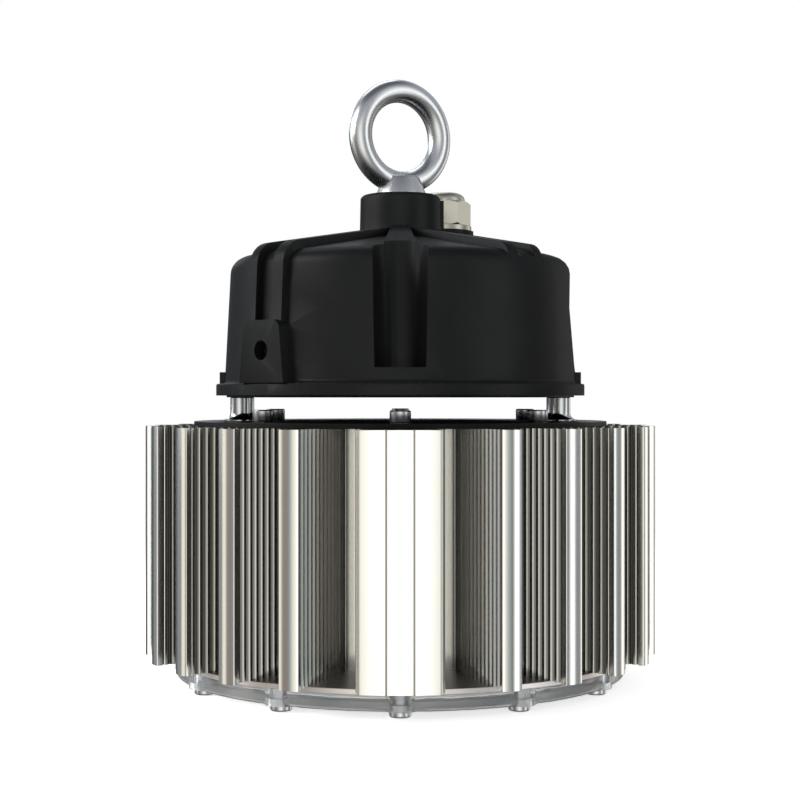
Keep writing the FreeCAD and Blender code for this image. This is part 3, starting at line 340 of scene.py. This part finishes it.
def hub_side(gap):
    """The hub between two fins: a flat facet with a square slot, or with a C-shaped
    port for a screw at every fourth gap."""
    half_pitch = math.radians(180 / FINS)
    corner = HUB_R * math.tan(half_pitch) - FIN_HALF / math.cos(half_pitch)
    if gap % 4 == 0:
        centre, bore, wall, slot = PORT_AT, PORT_BORE, PORT_WALL, PORT_SLOT
        lip = math.degrees(math.asin(slot / wall))
        mouth = math.degrees(math.asin(slot / bore))
        middle = np.vstack([
            [HUB_R, -wall, 0.3], arc_rows(centre, wall, -90, -lip, 9),
            arc_rows(centre, bore, -mouth, mouth - 360, 21),
            arc_rows(centre, wall, lip, 90, 9), [HUB_R, wall, 0.3]])
    else:
        floor_r = HUB_R - HUB_SLOT_DEEP
        middle = np.array([[HUB_R, -HUB_SLOT_HALF, 0.3], [floor_r, -HUB_SLOT_HALF, 0.2],
                           [floor_r, HUB_SLOT_HALF, 0.2], [HUB_R, HUB_SLOT_HALF, 0.3]])
    return np.vstack([[HUB_R, -corner, 0.3], middle, [HUB_R, corner, 0.3]])


def front_panel():
    """A panel's outer face on the full radius, with round corners and two grooves."""
    half = SINK_R * math.sin(math.radians(180 / FINS)) + FIN_HALF
    level = math.sqrt(SINK_R ** 2 - half ** 2)
    stretches = [(-half, -GROOVE_OUT), (-GROOVE_IN, GROOVE_IN), (GROOVE_OUT, half)]
    rows = []
    for left, right in stretches:
        sideways = np.linspace(left, right, 9)
        rows.append(np.stack([np.sqrt(SINK_R ** 2 - sideways ** 2), sideways,
                              np.zeros(9)], 1))
        rows[-1][[0, -1], 2] = 0.12
    rows[0][0, 2] = rows[-1][-1, 2] = PANEL_ROUND
    groove = [[[math.sqrt(SINK_R ** 2 - s ** 2) - GROOVE_DEEP, s, 0.05] for s in pair]
              for pair in ((-GROOVE_OUT, -GROOVE_IN), (GROOVE_IN, GROOVE_OUT))]
    return np.vstack([[level - PANEL_FLANK, -half, 0], rows[0], groove[0], rows[1],
                      groove[1], rows[2], [level - PANEL_FLANK, half, 0]])


def eased(rows, steps=5):
    """A closed outline of (x, y, ease) whose corners are replaced by parabolas that
    start and end that ease away from the corner."""
    corner, ease = rows[:, :2], rows[:, 2]

    def towards(other):
        line = other - corner
        length = np.maximum(np.linalg.norm(line, axis=1), 1e-9)
        return corner + line * np.minimum(ease / length, 0.45)[:, None]

    first, last = towards(np.roll(corner, 1, 0)), towards(np.roll(corner, -1, 0))
    t = np.linspace(0, 1, steps)[None, :, None]
    curve = ((1 - t) ** 2 * first[:, None] + 2 * t * (1 - t) * corner[:, None]
             + t ** 2 * last[:, None]).reshape(-1, 2)
    return curve[np.linalg.norm(curve - np.roll(curve, 1, 0), axis=1) > 1e-5]


def sink_outlines():
    """The outer outline, the channel behind each panel and the lead bore."""
    step = 360 / FINS
    outer = []
    for fin in range(FINS):
        azimuth = (fin + 0.5) * step
        gap_after = (fin + 1) % FINS
        before_open, after_open = fin not in (0, 12), gap_after not in (0, 12)
        if before_open:
            outer.append(around_hub(fin_side(-1), azimuth))
        if before_open and after_open:
            outer.append(around_hub(tip_bar(), azimuth))
        if after_open:
            outer.append(around_hub(fin_side(1)[::-1], azimuth))
            outer.append(around_hub(hub_side(gap_after), gap_after * step))
        else:
            outer.append(around_hub(front_panel(), gap_after * step))
    half_pitch = math.radians(step / 2)
    roof = SINK_R * math.cos(half_pitch) - PANEL_WALL
    reach = roof * math.tan(half_pitch) - FIN_HALF / math.cos(half_pitch)
    channels = [around_hub(np.vstack([hub_side(gap), [roof, reach, 0.5], [roof, -reach, 0.5]]),
                           gap * step) for gap in (0, 12)]
    bore = arc_rows(0, LEAD_BORE, 0, -360, 49)[:-1]
    return [eased(np.vstack(outer))] + [eased(rows) for rows in channels] + [bore[:, :2]]


def prism(outlines, low, high):
    """Outlines in millimetres carried straight up from low to high, in metres, with
    both ends filled. Outer outlines run anticlockwise and holes clockwise."""
    points = np.vstack(outlines) * MM
    count = len(points)
    start = np.cumsum([0] + [len(line) for line in outlines])
    following = np.arange(count) + 1
    following[start[1:] - 1] = start[:-1]
    here = np.arange(count)
    sides = np.stack([here, following, following + count, here + count], 1)
    flat = np.array(tessellate_polygon(
        [[Vector((x, y, 0)) for x, y in line] for line in outlines]))
    a, b, c = (points[flat[:, k]] for k in range(3))
    upright = ((b - a)[:, 0] * (c - a)[:, 1] - (b - a)[:, 1] * (c - a)[:, 0]) > 0
    flat[~upright] = flat[~upright][:, ::-1]
    solid = np.vstack([np.c_[points, np.full(count, low)], np.c_[points, np.full(count, high)]])
    return solid, sides.tolist() + (flat + count).tolist() + flat[:, ::-1].tolist()


def made(name, surfaces, finish, slot, *stands_for, sharp=32):
    """One piece from surfaces given as (points, faces), merged where they meet, with
    edges over the sharp angle kept crisp. It rides on the light's one body."""
    points = np.vstack([given[0] for given in surfaces])
    starts = np.cumsum([0] + [len(given[0]) for given in surfaces])
    faces = [[corner + start for corner in face]
             for (_, group), start in zip(surfaces, starts) for face in group]
    mesh = bpy.data.meshes.new(name)
    mesh.from_pydata(points.tolist(), [], faces)
    shape = bmesh.new()
    shape.from_mesh(mesh)
    bmesh.ops.remove_doubles(shape, verts=shape.verts, dist=2e-6)
    bmesh.ops.dissolve_degenerate(shape, edges=shape.edges, dist=1e-7)
    shape.to_mesh(mesh)
    shape.free()
    finished(name, mesh, finish, stands_for, sharp)


def finished(name, mesh, finish, stands_for, sharp):
    """Shades a mesh, gives it its finish and hangs it on the light's body."""
    mesh.shade_smooth()
    mesh.set_sharp_from_angle(angle=math.radians(sharp))
    mesh.materials.clear()
    mesh.materials.append(finish.holder)
    piece = bpy.data.objects.new(name, mesh)
    scene.collection.objects.link(piece)
    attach(piece, "root")
    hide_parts(*stands_for)
    return piece


# The skin is one bare finish with fine lines. Painted into it by place, which the real
# metal doesn't have: painted shade on the fin flanks, deep on most and light beside the two
# panels, and painted shade in the valleys between the rib tops and on the groove floors.
# Lengths are in metres from the axis.
PANEL_ZONE = 0.3825
RIB_TOP_FROM, RIB_TOP_TO = 0.0021, 0.00285
TIP_FROM, TIP_TO = 0.1045, 0.1068
GROOVE_ZONE = 0.0075
bare = Finish("extruded_aluminium")
die_lines = bare.spots(2600, (1, 1, 0.004), detail=3)
cloud = bare.spots(30, detail=3)
spot_at = bare.node("SeparateXYZ", {}, [bare.node("TexCoord", {}, {}, "Object")])
beside = Signal(bare, spot_at.socket.node.outputs[0])
ahead = Signal(bare, spot_at.socket.node.outputs[1])
from_axis = (beside * beside + ahead * ahead) ** 0.5
fin_turn = (bare.node("Math", {"operation": "ARCTAN2"}, [beside, ahead * -1.0])
            * (FINS / (2 * math.pi)))
from_fin = (fin_turn.of("FRACT") - 0.5).of("ABSOLUTE") * (2 * math.pi / FINS) * from_axis
rib_top = bare.node("MapRange", {}, {"Value": from_fin, "From Min": RIB_TOP_FROM,
                                     "From Max": RIB_TOP_TO})
at_tip = bare.node("MapRange", {}, {"Value": from_axis, "From Min": TIP_FROM,
                                    "From Max": TIP_TO})
# Painted shade on the fin flanks: deep on most fins, light on the flanks beside the two panels,
# and darker in the valleys than on the rib tops.
near_panel = (beside.of("ABSOLUTE") / from_axis).of("LESS_THAN", PANEL_ZONE)
flank_painted_shade = bare.blend(near_panel, bare.blend(rib_top, (0.085, 0.084, 0.078), (0.36, 0.355, 0.33)),
                   bare.blend(rib_top, (0.44, 0.43, 0.41), (0.58, 0.57, 0.54)))
skin = bare.blend(cloud, (0.54, 0.54, 0.53), (0.60, 0.595, 0.57))
# Painted shade on the floors of the two grooves in each panel.
groove_floor_painted_shade = bare.node("MapRange", {}, {"Value": from_axis, "From Min": 0.10985,
                                          "From Max": 0.1095})
in_panel = beside.of("ABSOLUTE").of("LESS_THAN", GROOVE_ZONE) * at_tip
skin = bare.blend(groove_floor_painted_shade * in_panel, skin, (0.16, 0.15, 0.12))
bare.coat(
    base_color=bare.blend(at_tip, flank_painted_shade, skin),
    metallic=1.0,
    roughness=0.15 + die_lines * 0.05 + cloud * 0.03,
    normal=bare.grain(die_lines, 0.000003, 0.3))

sink_low, sink_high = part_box("heat_sink")
made("sink_extrusion", [prism(sink_outlines(), sink_low.z, sink_high.z)], bare,
     "bare_aluminium", "heat_sink")


# ------------------------------------------------------------------ driver housing
# One aluminium die casting: a drafted shell with ribs, bracket tabs and two screw
# pockets, a cast neck and the seat of the gland. All its edges are eased by the die
# and it has a fine grained black powder coat.
FLAT_SEAM, EDGE_ANGLE, BEVEL_STEPS = 0.05, 32, 3


def carried(name, node, finish, bevel):
    """A copy of one CAD node's mesh, merged and freed of flat seams, with every edge
    over EDGE_ANGLE bevelled by the given width in metres."""
    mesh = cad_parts[node].data.copy()
    mesh.name = name
    shape = bmesh.new()
    shape.from_mesh(mesh)
    bmesh.ops.remove_doubles(shape, verts=shape.verts, dist=2e-6)
    bmesh.ops.dissolve_limit(shape, angle_limit=math.radians(FLAT_SEAM),
                             verts=shape.verts, edges=shape.edges)
    shape.to_mesh(mesh)
    shape.free()
    piece = finished(name, mesh, finish, (node,), EDGE_ANGLE)
    eased_edges = piece.modifiers.new("eased_edges", "BEVEL")
    eased_edges.width = bevel
    eased_edges.segments = BEVEL_STEPS
    eased_edges.limit_method = "ANGLE"
    eased_edges.angle_limit = math.radians(EDGE_ANGLE)
    eased_edges.harden_normals = True
    eased_edges.use_clamp_overlap = True


def grid(rows):
    """Quads between rows of points of equal length, each row closed on itself."""
    rows = np.asarray(rows, float)
    count, around_row = rows.shape[:2]
    here = np.arange(around_row)
    following = np.roll(here, -1)
    faces = [np.stack([here, following, following + around_row, here + around_row], 1)
             + step * around_row for step in range(count - 1)]
    return rows.reshape(-1, 3), np.vstack(faces).tolist()


def turned_rows(profile, sides, across=0.0, along=0.0):
    """Rings of a profile of (radius, height) turned about an upright axis. A radius
    may be an array with one value for each of the sides."""
    angle = np.linspace(0, 2 * np.pi, sides, endpoint=False)
    return np.stack([np.stack([across + radius * np.cos(angle), along + radius * np.sin(angle),
                               np.full(sides, height)], 1) for radius, height in profile])


def scaled(surface):
    """A surface given in millimetres, in metres."""
    return np.asarray(surface[0]) * MM, surface[1]


black = Finish("black_powder_coat")
orange_peel = black.spots(1500, detail=4, roughness=0.6)
patches = black.spots(60, detail=3)
paint = black.node("BsdfDiffuse", {}, {
    "Color": black.blend(patches, (0.0075, 0.0078, 0.0080), (0.0105, 0.0108, 0.0108))})
sheen = black.node("BsdfAnisotropic", {}, {
    "Color": (0.95, 0.97, 1.0), "Roughness": 0.30 + orange_peel * 0.12,
    "Normal": black.grain(orange_peel, 0.00012, 0.6)})
facing = black.node("LayerWeight", {}, {"Blend": 0.5}, "Facing")
black.shown(black.node("MixShader", {}, [
    0.0075 + patches * 0.002 + (facing ** 5) * 0.09, paint, sheen]))
carried("cast_housing", "driver_housing", black, 0.0009)


# ------------------------------------------------------------------ lifting eye
# A drop forged M12 eye bolt, screwed through the neck: a ring of round section on a
# collar that flares out to its seat. Bright zinc plate over the forged skin.
def rounded(profile, steps=6):
    """A profile of (radius, height, ease) whose corners are replaced by parabolas
    that start and end that ease away from the corner."""
    profile = np.asarray(profile, float)
    result = [profile[0, :2]]
    for before, corner, after in zip(profile[:-2], profile[1:-1], profile[2:]):
        if corner[2] <= 0:
            result.append(corner[:2])
            continue
        sides = []
        for other in (before, after):
            line = other[:2] - corner[:2]
            length = np.linalg.norm(line)
            sides.append(corner[:2] + line * min(corner[2] / length, 0.48))
        for t in np.linspace(0, 1, steps):
            result.append((1 - t) ** 2 * sides[0] + 2 * t * (1 - t) * corner[:2]
                          + t ** 2 * sides[1])
    return result + [profile[-1, :2]]


def eye_ring(radius, section, centre, turned_by):
    """A torus whose centre line is an upright circle, turned about the vertical: the
    section's circle is carried round the ring's."""
    round_ring = np.linspace(0, 2 * np.pi, 128, endpoint=False)[:, None]
    round_section = np.linspace(0, 2 * np.pi, 48, endpoint=False)[None, :]
    reach = radius + section * np.cos(round_section)
    beside = reach * np.cos(round_ring)
    up = centre + reach * np.sin(round_ring)
    thick = section * np.sin(round_section) + 0 * round_ring
    angle = math.radians(turned_by)
    rows = np.stack([beside * math.cos(angle) - thick * math.sin(angle),
                     beside * math.sin(angle) + thick * math.cos(angle), up], 2)
    return grid(np.vstack([rows, rows[:1]]))


NECK_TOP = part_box("driver_housing")[1].z / MM
RING_R, RING_SECTION, RING_UP, RING_TURN = 20.0, 5.0, 25.79, 31.0
SHANK_R, COLLAR_FOOT, COLLAR_HEAD = 6.0, 11.4, 8.3
zinc = Finish("zinc_plate")
forged = zinc.spots(900, detail=3)
bloom = zinc.spots(90, detail=2)
zinc.coat(
    base_color=zinc.blend(bloom, (0.36, 0.37, 0.38), (0.43, 0.44, 0.45)),
    metallic=1.0,
    roughness=0.19 + bloom * 0.10 + forged * 0.05,
    normal=zinc.grain(forged, 0.000008, 0.4))
collar = rounded([(SHANK_R, NECK_TOP - 30.0, 0), (SHANK_R, NECK_TOP, 0),
                  (COLLAR_FOOT, NECK_TOP, 0.3), (COLLAR_FOOT, NECK_TOP + 0.6, 0.4),
                  (COLLAR_HEAD, NECK_TOP + 8.2, 0.7), (0.02, NECK_TOP + 8.4, 0)])
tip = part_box("eye_bolt")[0].z / MM
collar[0] = (SHANK_R - 0.6, tip)
collar.insert(1, (SHANK_R, tip + 0.6))
made("forged_eye",
     [scaled(eye_ring(RING_R, RING_SECTION, NECK_TOP + RING_UP, RING_TURN)),
      scaled(grid(turned_rows([(0.02, tip)] + collar, 64)))],
     zinc, "zinc_steel", "eye_bolt", sharp=40)
for node in ("eye_washer", "eye_nut"):
    carried("turned_" + node, node, zinc, 0.0003)


# ------------------------------------------------------------------ socket screws
# M5 cap screws with faintly knurled heads and hexagon sockets, headed and zinc plated:
# six hold the top plate in the ports of the heat sink, twelve hold the lens.
HEAD_R, KNURL, KEY_EASE = 4.25, 0.02, 0.15
TOP_SCREW, TOP_SCREWS_AT = 16.0, 66.0
LENS_SCREW, LENS_SCREWS_AT, LENS_SEAT = 6.0, 92.0, 5.0


def cap_screw(length):
    """One screw with the head's underside at height 0: rings of a profile, where the
    wall's radius alternates for the knurl and the socket's is its flat divided by
    the cosine of the angle from the flat's middle."""
    sides = 96
    angle = np.linspace(0, 2 * np.pi, sides, endpoint=False)
    from_middle = (angle + math.pi / 6) % (math.pi / 3) - math.pi / 6
    socket = 2.0 / np.cos(from_middle)
    knurl = HEAD_R - KNURL * (np.arange(sides) % 2)
    profile = [(0.02, -length), (2.0, -length), (2.5, -length + 0.5), (2.5, 0.0), (4.0, 0.0),
               (4.1, 0.15), (knurl, 0.4), (knurl, 4.45), (4.12, 4.55), (4.08, 4.8), (3.85, 5.0),
               (socket + KEY_EASE, 5.0), (socket, 5.0 - KEY_EASE), (socket, 2.4),
               (1.5, 2.3), (0.02, 1.7)]
    return grid(turned_rows(profile, sides))


def tiled(surface, places, flipped=False):
    """Copies of a surface at each (across, along, height), or mirrored top to bottom."""
    points, faces = np.asarray(surface[0]), surface[1]
    if flipped:
        points = points * (1, 1, -1)
        faces = [face[::-1] for face in faces]
    return [(points + np.asarray(place), faces) for place in places]


def ring_of_places(radius, azimuths, height):
    """Places at one radius, by azimuth from the front: (r sin a, -r cos a, height)."""
    return [(radius * math.sin(math.radians(a)), -radius * math.cos(math.radians(a)), height)
            for a in azimuths]


TOP_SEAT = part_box("top_plate")[1].z / MM
made("top_cap_screws", [scaled(part) for part in tiled(
    cap_screw(TOP_SCREW), ring_of_places(TOP_SCREWS_AT, range(0, 360, 60), TOP_SEAT))],
     zinc, "zinc_steel", "top_plate_screws", sharp=40)
made("lens_cap_screws", [scaled(part) for part in tiled(
    cap_screw(LENS_SCREW), ring_of_places(LENS_SCREWS_AT, range(0, 360, 30), LENS_SEAT),
    flipped=True)],
     zinc, "zinc_steel", "lens_screws", sharp=40)


# ------------------------------------------------------------------ top plate and standoffs
# A satin black steel disc screwed on the heat sink, and four bright turned sleeves
# with a flared foot that hold the housing off it, each on a countersunk screw.
plate = Finish("satin_black")
plate_grain = plate.spots(700, detail=3)
plate.coat(base_color=plate.blend(plate_grain, (0.002, 0.002, 0.002), (0.004, 0.004, 0.004)),
           roughness=0.42 + plate_grain * 0.10, specular_ior_level=0.1,
           normal=plate.grain(plate_grain, 0.00002, 0.4))
carried("black_disc", "top_plate", plate, 0.0002)
carried("housing_floor", "base_cover", plate, 0.0003)

bright = Finish("bright_turned_steel")
tool_marks = bright.spots(600, (0.02, 0.02, 6), detail=2)
bright.coat(base_color=bright.blend(tool_marks, (0.30, 0.31, 0.315), (0.36, 0.37, 0.375)),
            metallic=1.0, roughness=0.10 + tool_marks * 0.06,
            normal=bright.grain(tool_marks, 0.000004, 0.5))


def sleeve():
    """A bored sleeve: a thin round foot, a hollow flare that is a quarter of an
    ellipse, and a straight barrel with eased ends."""
    turn_of = np.linspace(0, np.pi / 2, 10)
    hollow = [(6.4 - 2.4 * math.sin(t), 0.8 + 2.7 * (1 - math.cos(t))) for t in turn_of]
    profile = ([(2.25, 0.0), (6.5, 0.0), (6.7, 0.2), (6.7, 0.6), (6.55, 0.8)] + hollow
               + [(4.0, 9.9), (3.7, 10.2), (2.25, 10.2), (2.25, 0.0)])
    return grid(turned_rows(profile, 64))


STANDOFF_ACROSS, STANDOFF_ALONG = 69.0, 12.0
STANDOFF_PLACES = [(across, along, TOP_SEAT)
                   for across in (-STANDOFF_ACROSS, STANDOFF_ACROSS)
                   for along in (-STANDOFF_ALONG, STANDOFF_ALONG)]
made("standoff_sleeves", [scaled(part) for part in tiled(sleeve(), STANDOFF_PLACES)],
     bright, "turned_steel", "standoff_front_left", "standoff_rear_left",
     "standoff_front_right", "standoff_rear_right", sharp=30)
carried("countersunk_screws", "standoff_screws", zinc, 0.0002)


# ------------------------------------------------------------------ cable gland
# An M16 gland of nickel plated brass: a body through the housing's seat, and a
# hexagon nut with chamfered corners and a rounded dome that presses the rubber seal.
nickel = Finish("nickel_plate")
drawn_lines = nickel.spots(800, (0.05, 0.05, 4), detail=2)
nickel.coat(base_color=nickel.blend(drawn_lines, (0.29, 0.28, 0.245), (0.33, 0.32, 0.28)),
            metallic=1.0, roughness=0.30 + drawn_lines * 0.08,
            normal=nickel.grain(drawn_lines, 0.000006, 0.4))
GLAND_AT = (20.0, 44.0)


def gland_nut(foot):
    """A hexagon whose corners end in cones: the radius is the lesser of flat over
    cosine and the cone's, then a round dome with an entry bore and the inner room."""
    sides = 120
    angle = np.linspace(0, 2 * np.pi, sides, endpoint=False)
    from_flat = angle % (math.pi / 3) - math.pi / 6
    hexagon = 11.0 / np.cos(from_flat)
    rows = [(8.1, foot), (10.9, foot)]
    for height in np.linspace(0, 1.4, 6):
        rows.append((np.minimum(hexagon, 11.1 + height * 1.25), foot + height * 0.6))
    rows.append((hexagon, foot + 1.2))
    rows.append((hexagon, foot + 9.9))
    for height in np.linspace(0, 1, 6):
        rows.append((np.minimum(hexagon, 12.75 - height * 1.75), foot + 10.1 + height * 1.1))
    rows.append((10.0, foot + 11.3))
    for t in np.linspace(0, np.pi / 2, 10):
        rows.append((6.5 + 3.5 * math.cos(t), foot + 11.7 + 3.5 * math.sin(t)))
    rows += [(4.8, foot + 15.2), (4.5, foot + 14.9), (4.5, foot + 11.2), (8.1, foot + 11.2),
             (8.1, foot)]
    return grid(turned_rows(rows, sides, *GLAND_AT))


gland_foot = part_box("gland_nut")[0].z / MM
made("domed_nut", [scaled(gland_nut(gland_foot))], nickel, "nickel", "gland_nut", sharp=25)
carried("gland_stem", "gland_body", nickel, 0.0003)
carried("gland_lock", "gland_locknut", nickel, 0.0003)


# ------------------------------------------------------------------ lens and carrier
# A sawn and turned aluminium carrier under the heat sink, and below it the clear
# moulded polycarbonate lens with a stepped rim and a boss round every screw. A fifth
# of the lens is a milky scatter, and shadow rays pass it.
clear = Finish("clear_polycarbonate")
flow = clear.spots(40, detail=2)
glassy = clear.node("BsdfPrincipled", {}, {
    "Base Color": clear.blend(flow, (0.93, 0.95, 0.95), (0.96, 0.97, 0.97)),
    "Roughness": 0.03 + flow * 0.03, "IOR": 1.58, "Transmission Weight": 1.0,
    "Normal": clear.grain(flow, 0.00002, 0.3)})
let_through = clear.node("BsdfTransparent", {}, {"Color": (0.88, 0.91, 0.91)})
shadow_ray = clear.node("LightPath", {}, {}, "Is Shadow Ray")
milky = clear.node("BsdfDiffuse", {}, {"Color": (0.80, 0.82, 0.82)})
clear.shown(clear.node("MixShader", {}, [
    shadow_ray, clear.node("MixShader", {}, [0.20, glassy, milky]), let_through]))
carried("clear_lens", "lens_cover", clear, 0.0003)

sawn = Finish("satin_carrier")
sawn_grain = sawn.spots(500, detail=3)
carrier_at = sawn.node("SeparateXYZ", {}, [sawn.node("TexCoord", {}, {}, "Object")], 2)
# The top face is painted darker than the rim, a painted shade; the real plate has one finish.
top_painted_shade = sawn.node("MapRange", {}, {"Value": carrier_at, "From Min": 0.0109,
                                    "From Max": 0.0112})
rim = sawn.blend(sawn_grain, (0.60, 0.56, 0.54), (0.68, 0.64, 0.62))
sawn.coat(base_color=sawn.blend(top_painted_shade, rim, (0.30, 0.28, 0.275)),
          metallic=1.0, roughness=0.34 + sawn_grain * 0.10,
          normal=sawn.grain(sawn_grain, 0.000008, 0.4))
carried("carrier_disc", "carrier_plate", sawn, 0.0002)


# ------------------------------------------------------------------ light source
# A round white board with yellow phosphor chips, screwed on a heat pad behind the
# lens. The chips' wax-like domes scatter a little light.
mask = Finish("white_solder_mask")
mask_grain = mask.spots(400, detail=2)
mask.coat(base_color=mask.blend(mask_grain, (0.78, 0.78, 0.75), (0.84, 0.84, 0.82)),
          roughness=0.35 + mask_grain * 0.1, coat_weight=0.3)
phosphor = Finish("yellow_phosphor")
phosphor_grain = phosphor.spots(3000, detail=2)
phosphor.coat(base_color=phosphor.blend(phosphor_grain, (0.80, 0.62, 0.14), (0.86, 0.70, 0.22)),
              roughness=0.4 + phosphor_grain * 0.1, coat_weight=0.2)
pad = Finish("grey_heat_pad")
pad_grain = pad.spots(800, detail=2)
pad.coat(base_color=pad.blend(pad_grain, (0.30, 0.34, 0.38), (0.36, 0.40, 0.44)),
         roughness=0.8 + pad_grain * 0.1)
rubber = Finish("black_rubber")
rubber_grain = rubber.spots(900, detail=2)
rubber.coat(base_color=rubber.blend(rubber_grain, (0.012, 0.012, 0.012), (0.022, 0.022, 0.022)),
            roughness=0.65 + rubber_grain * 0.15,
            normal=rubber.grain(rubber_grain, 0.00002, 0.4))


# ------------------------------------------------------------------ driver
# A generic driver in the closed housing: green board, taped transformer, sleeved
# capacitors and moulded terminals. Nothing of it shows.
green = Finish("green_solder_mask")
green_grain = green.spots(300, detail=2)
green.coat(base_color=green.blend(green_grain, (0.03, 0.18, 0.07), (0.05, 0.25, 0.10)),
           roughness=0.35 + green_grain * 0.1)
tape = Finish("yellow_tape")
tape_grain = tape.spots(500, (1, 1, 8), detail=2)
tape.coat(base_color=tape.blend(tape_grain, (0.66, 0.50, 0.14), (0.74, 0.58, 0.18)),
          roughness=0.5 + tape_grain * 0.1)
shrunk = Finish("shrunk_sleeve")
shrunk_grain = shrunk.spots(300, detail=2)
shrunk.coat(base_color=shrunk.blend(shrunk_grain, (0.04, 0.05, 0.08), (0.07, 0.08, 0.12)),
            roughness=0.3 + shrunk_grain * 0.1)
moulded = Finish("moulded_plastic")
moulded_grain = moulded.spots(500, detail=2)
moulded.coat(base_color=moulded.blend(moulded_grain, (0.14, 0.28, 0.18), (0.18, 0.34, 0.22)),
             roughness=0.5 + moulded_grain * 0.1)

KEPT = {
    "carrier_screws": (zinc, "zinc_steel"),
    "led_board": (mask, "white_board"),
    "led_board_screws": (zinc, "zinc_steel"),
    "led_chips": (phosphor, "led_chips"),
    "thermal_pad": (pad, "thermal_pad"),
    "lens_seal": (rubber, "black_rubber"),
    "housing_seal": (rubber, "black_rubber"),
    "gland_seal": (rubber, "black_rubber"),
    "driver_board": (green, "green_board"),
    "driver_board_screws": (zinc, "zinc_steel"),
    "driver_transformer": (tape, "transformer"),
    "driver_capacitors": (shrunk, "capacitor_sleeve"),
    "driver_terminals": (moulded, "terminal_plastic"),
}
for node, (finish, slot) in KEPT.items():
    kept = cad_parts[node]
    kept.data.materials.clear()
    kept.data.materials.append(finish.holder)
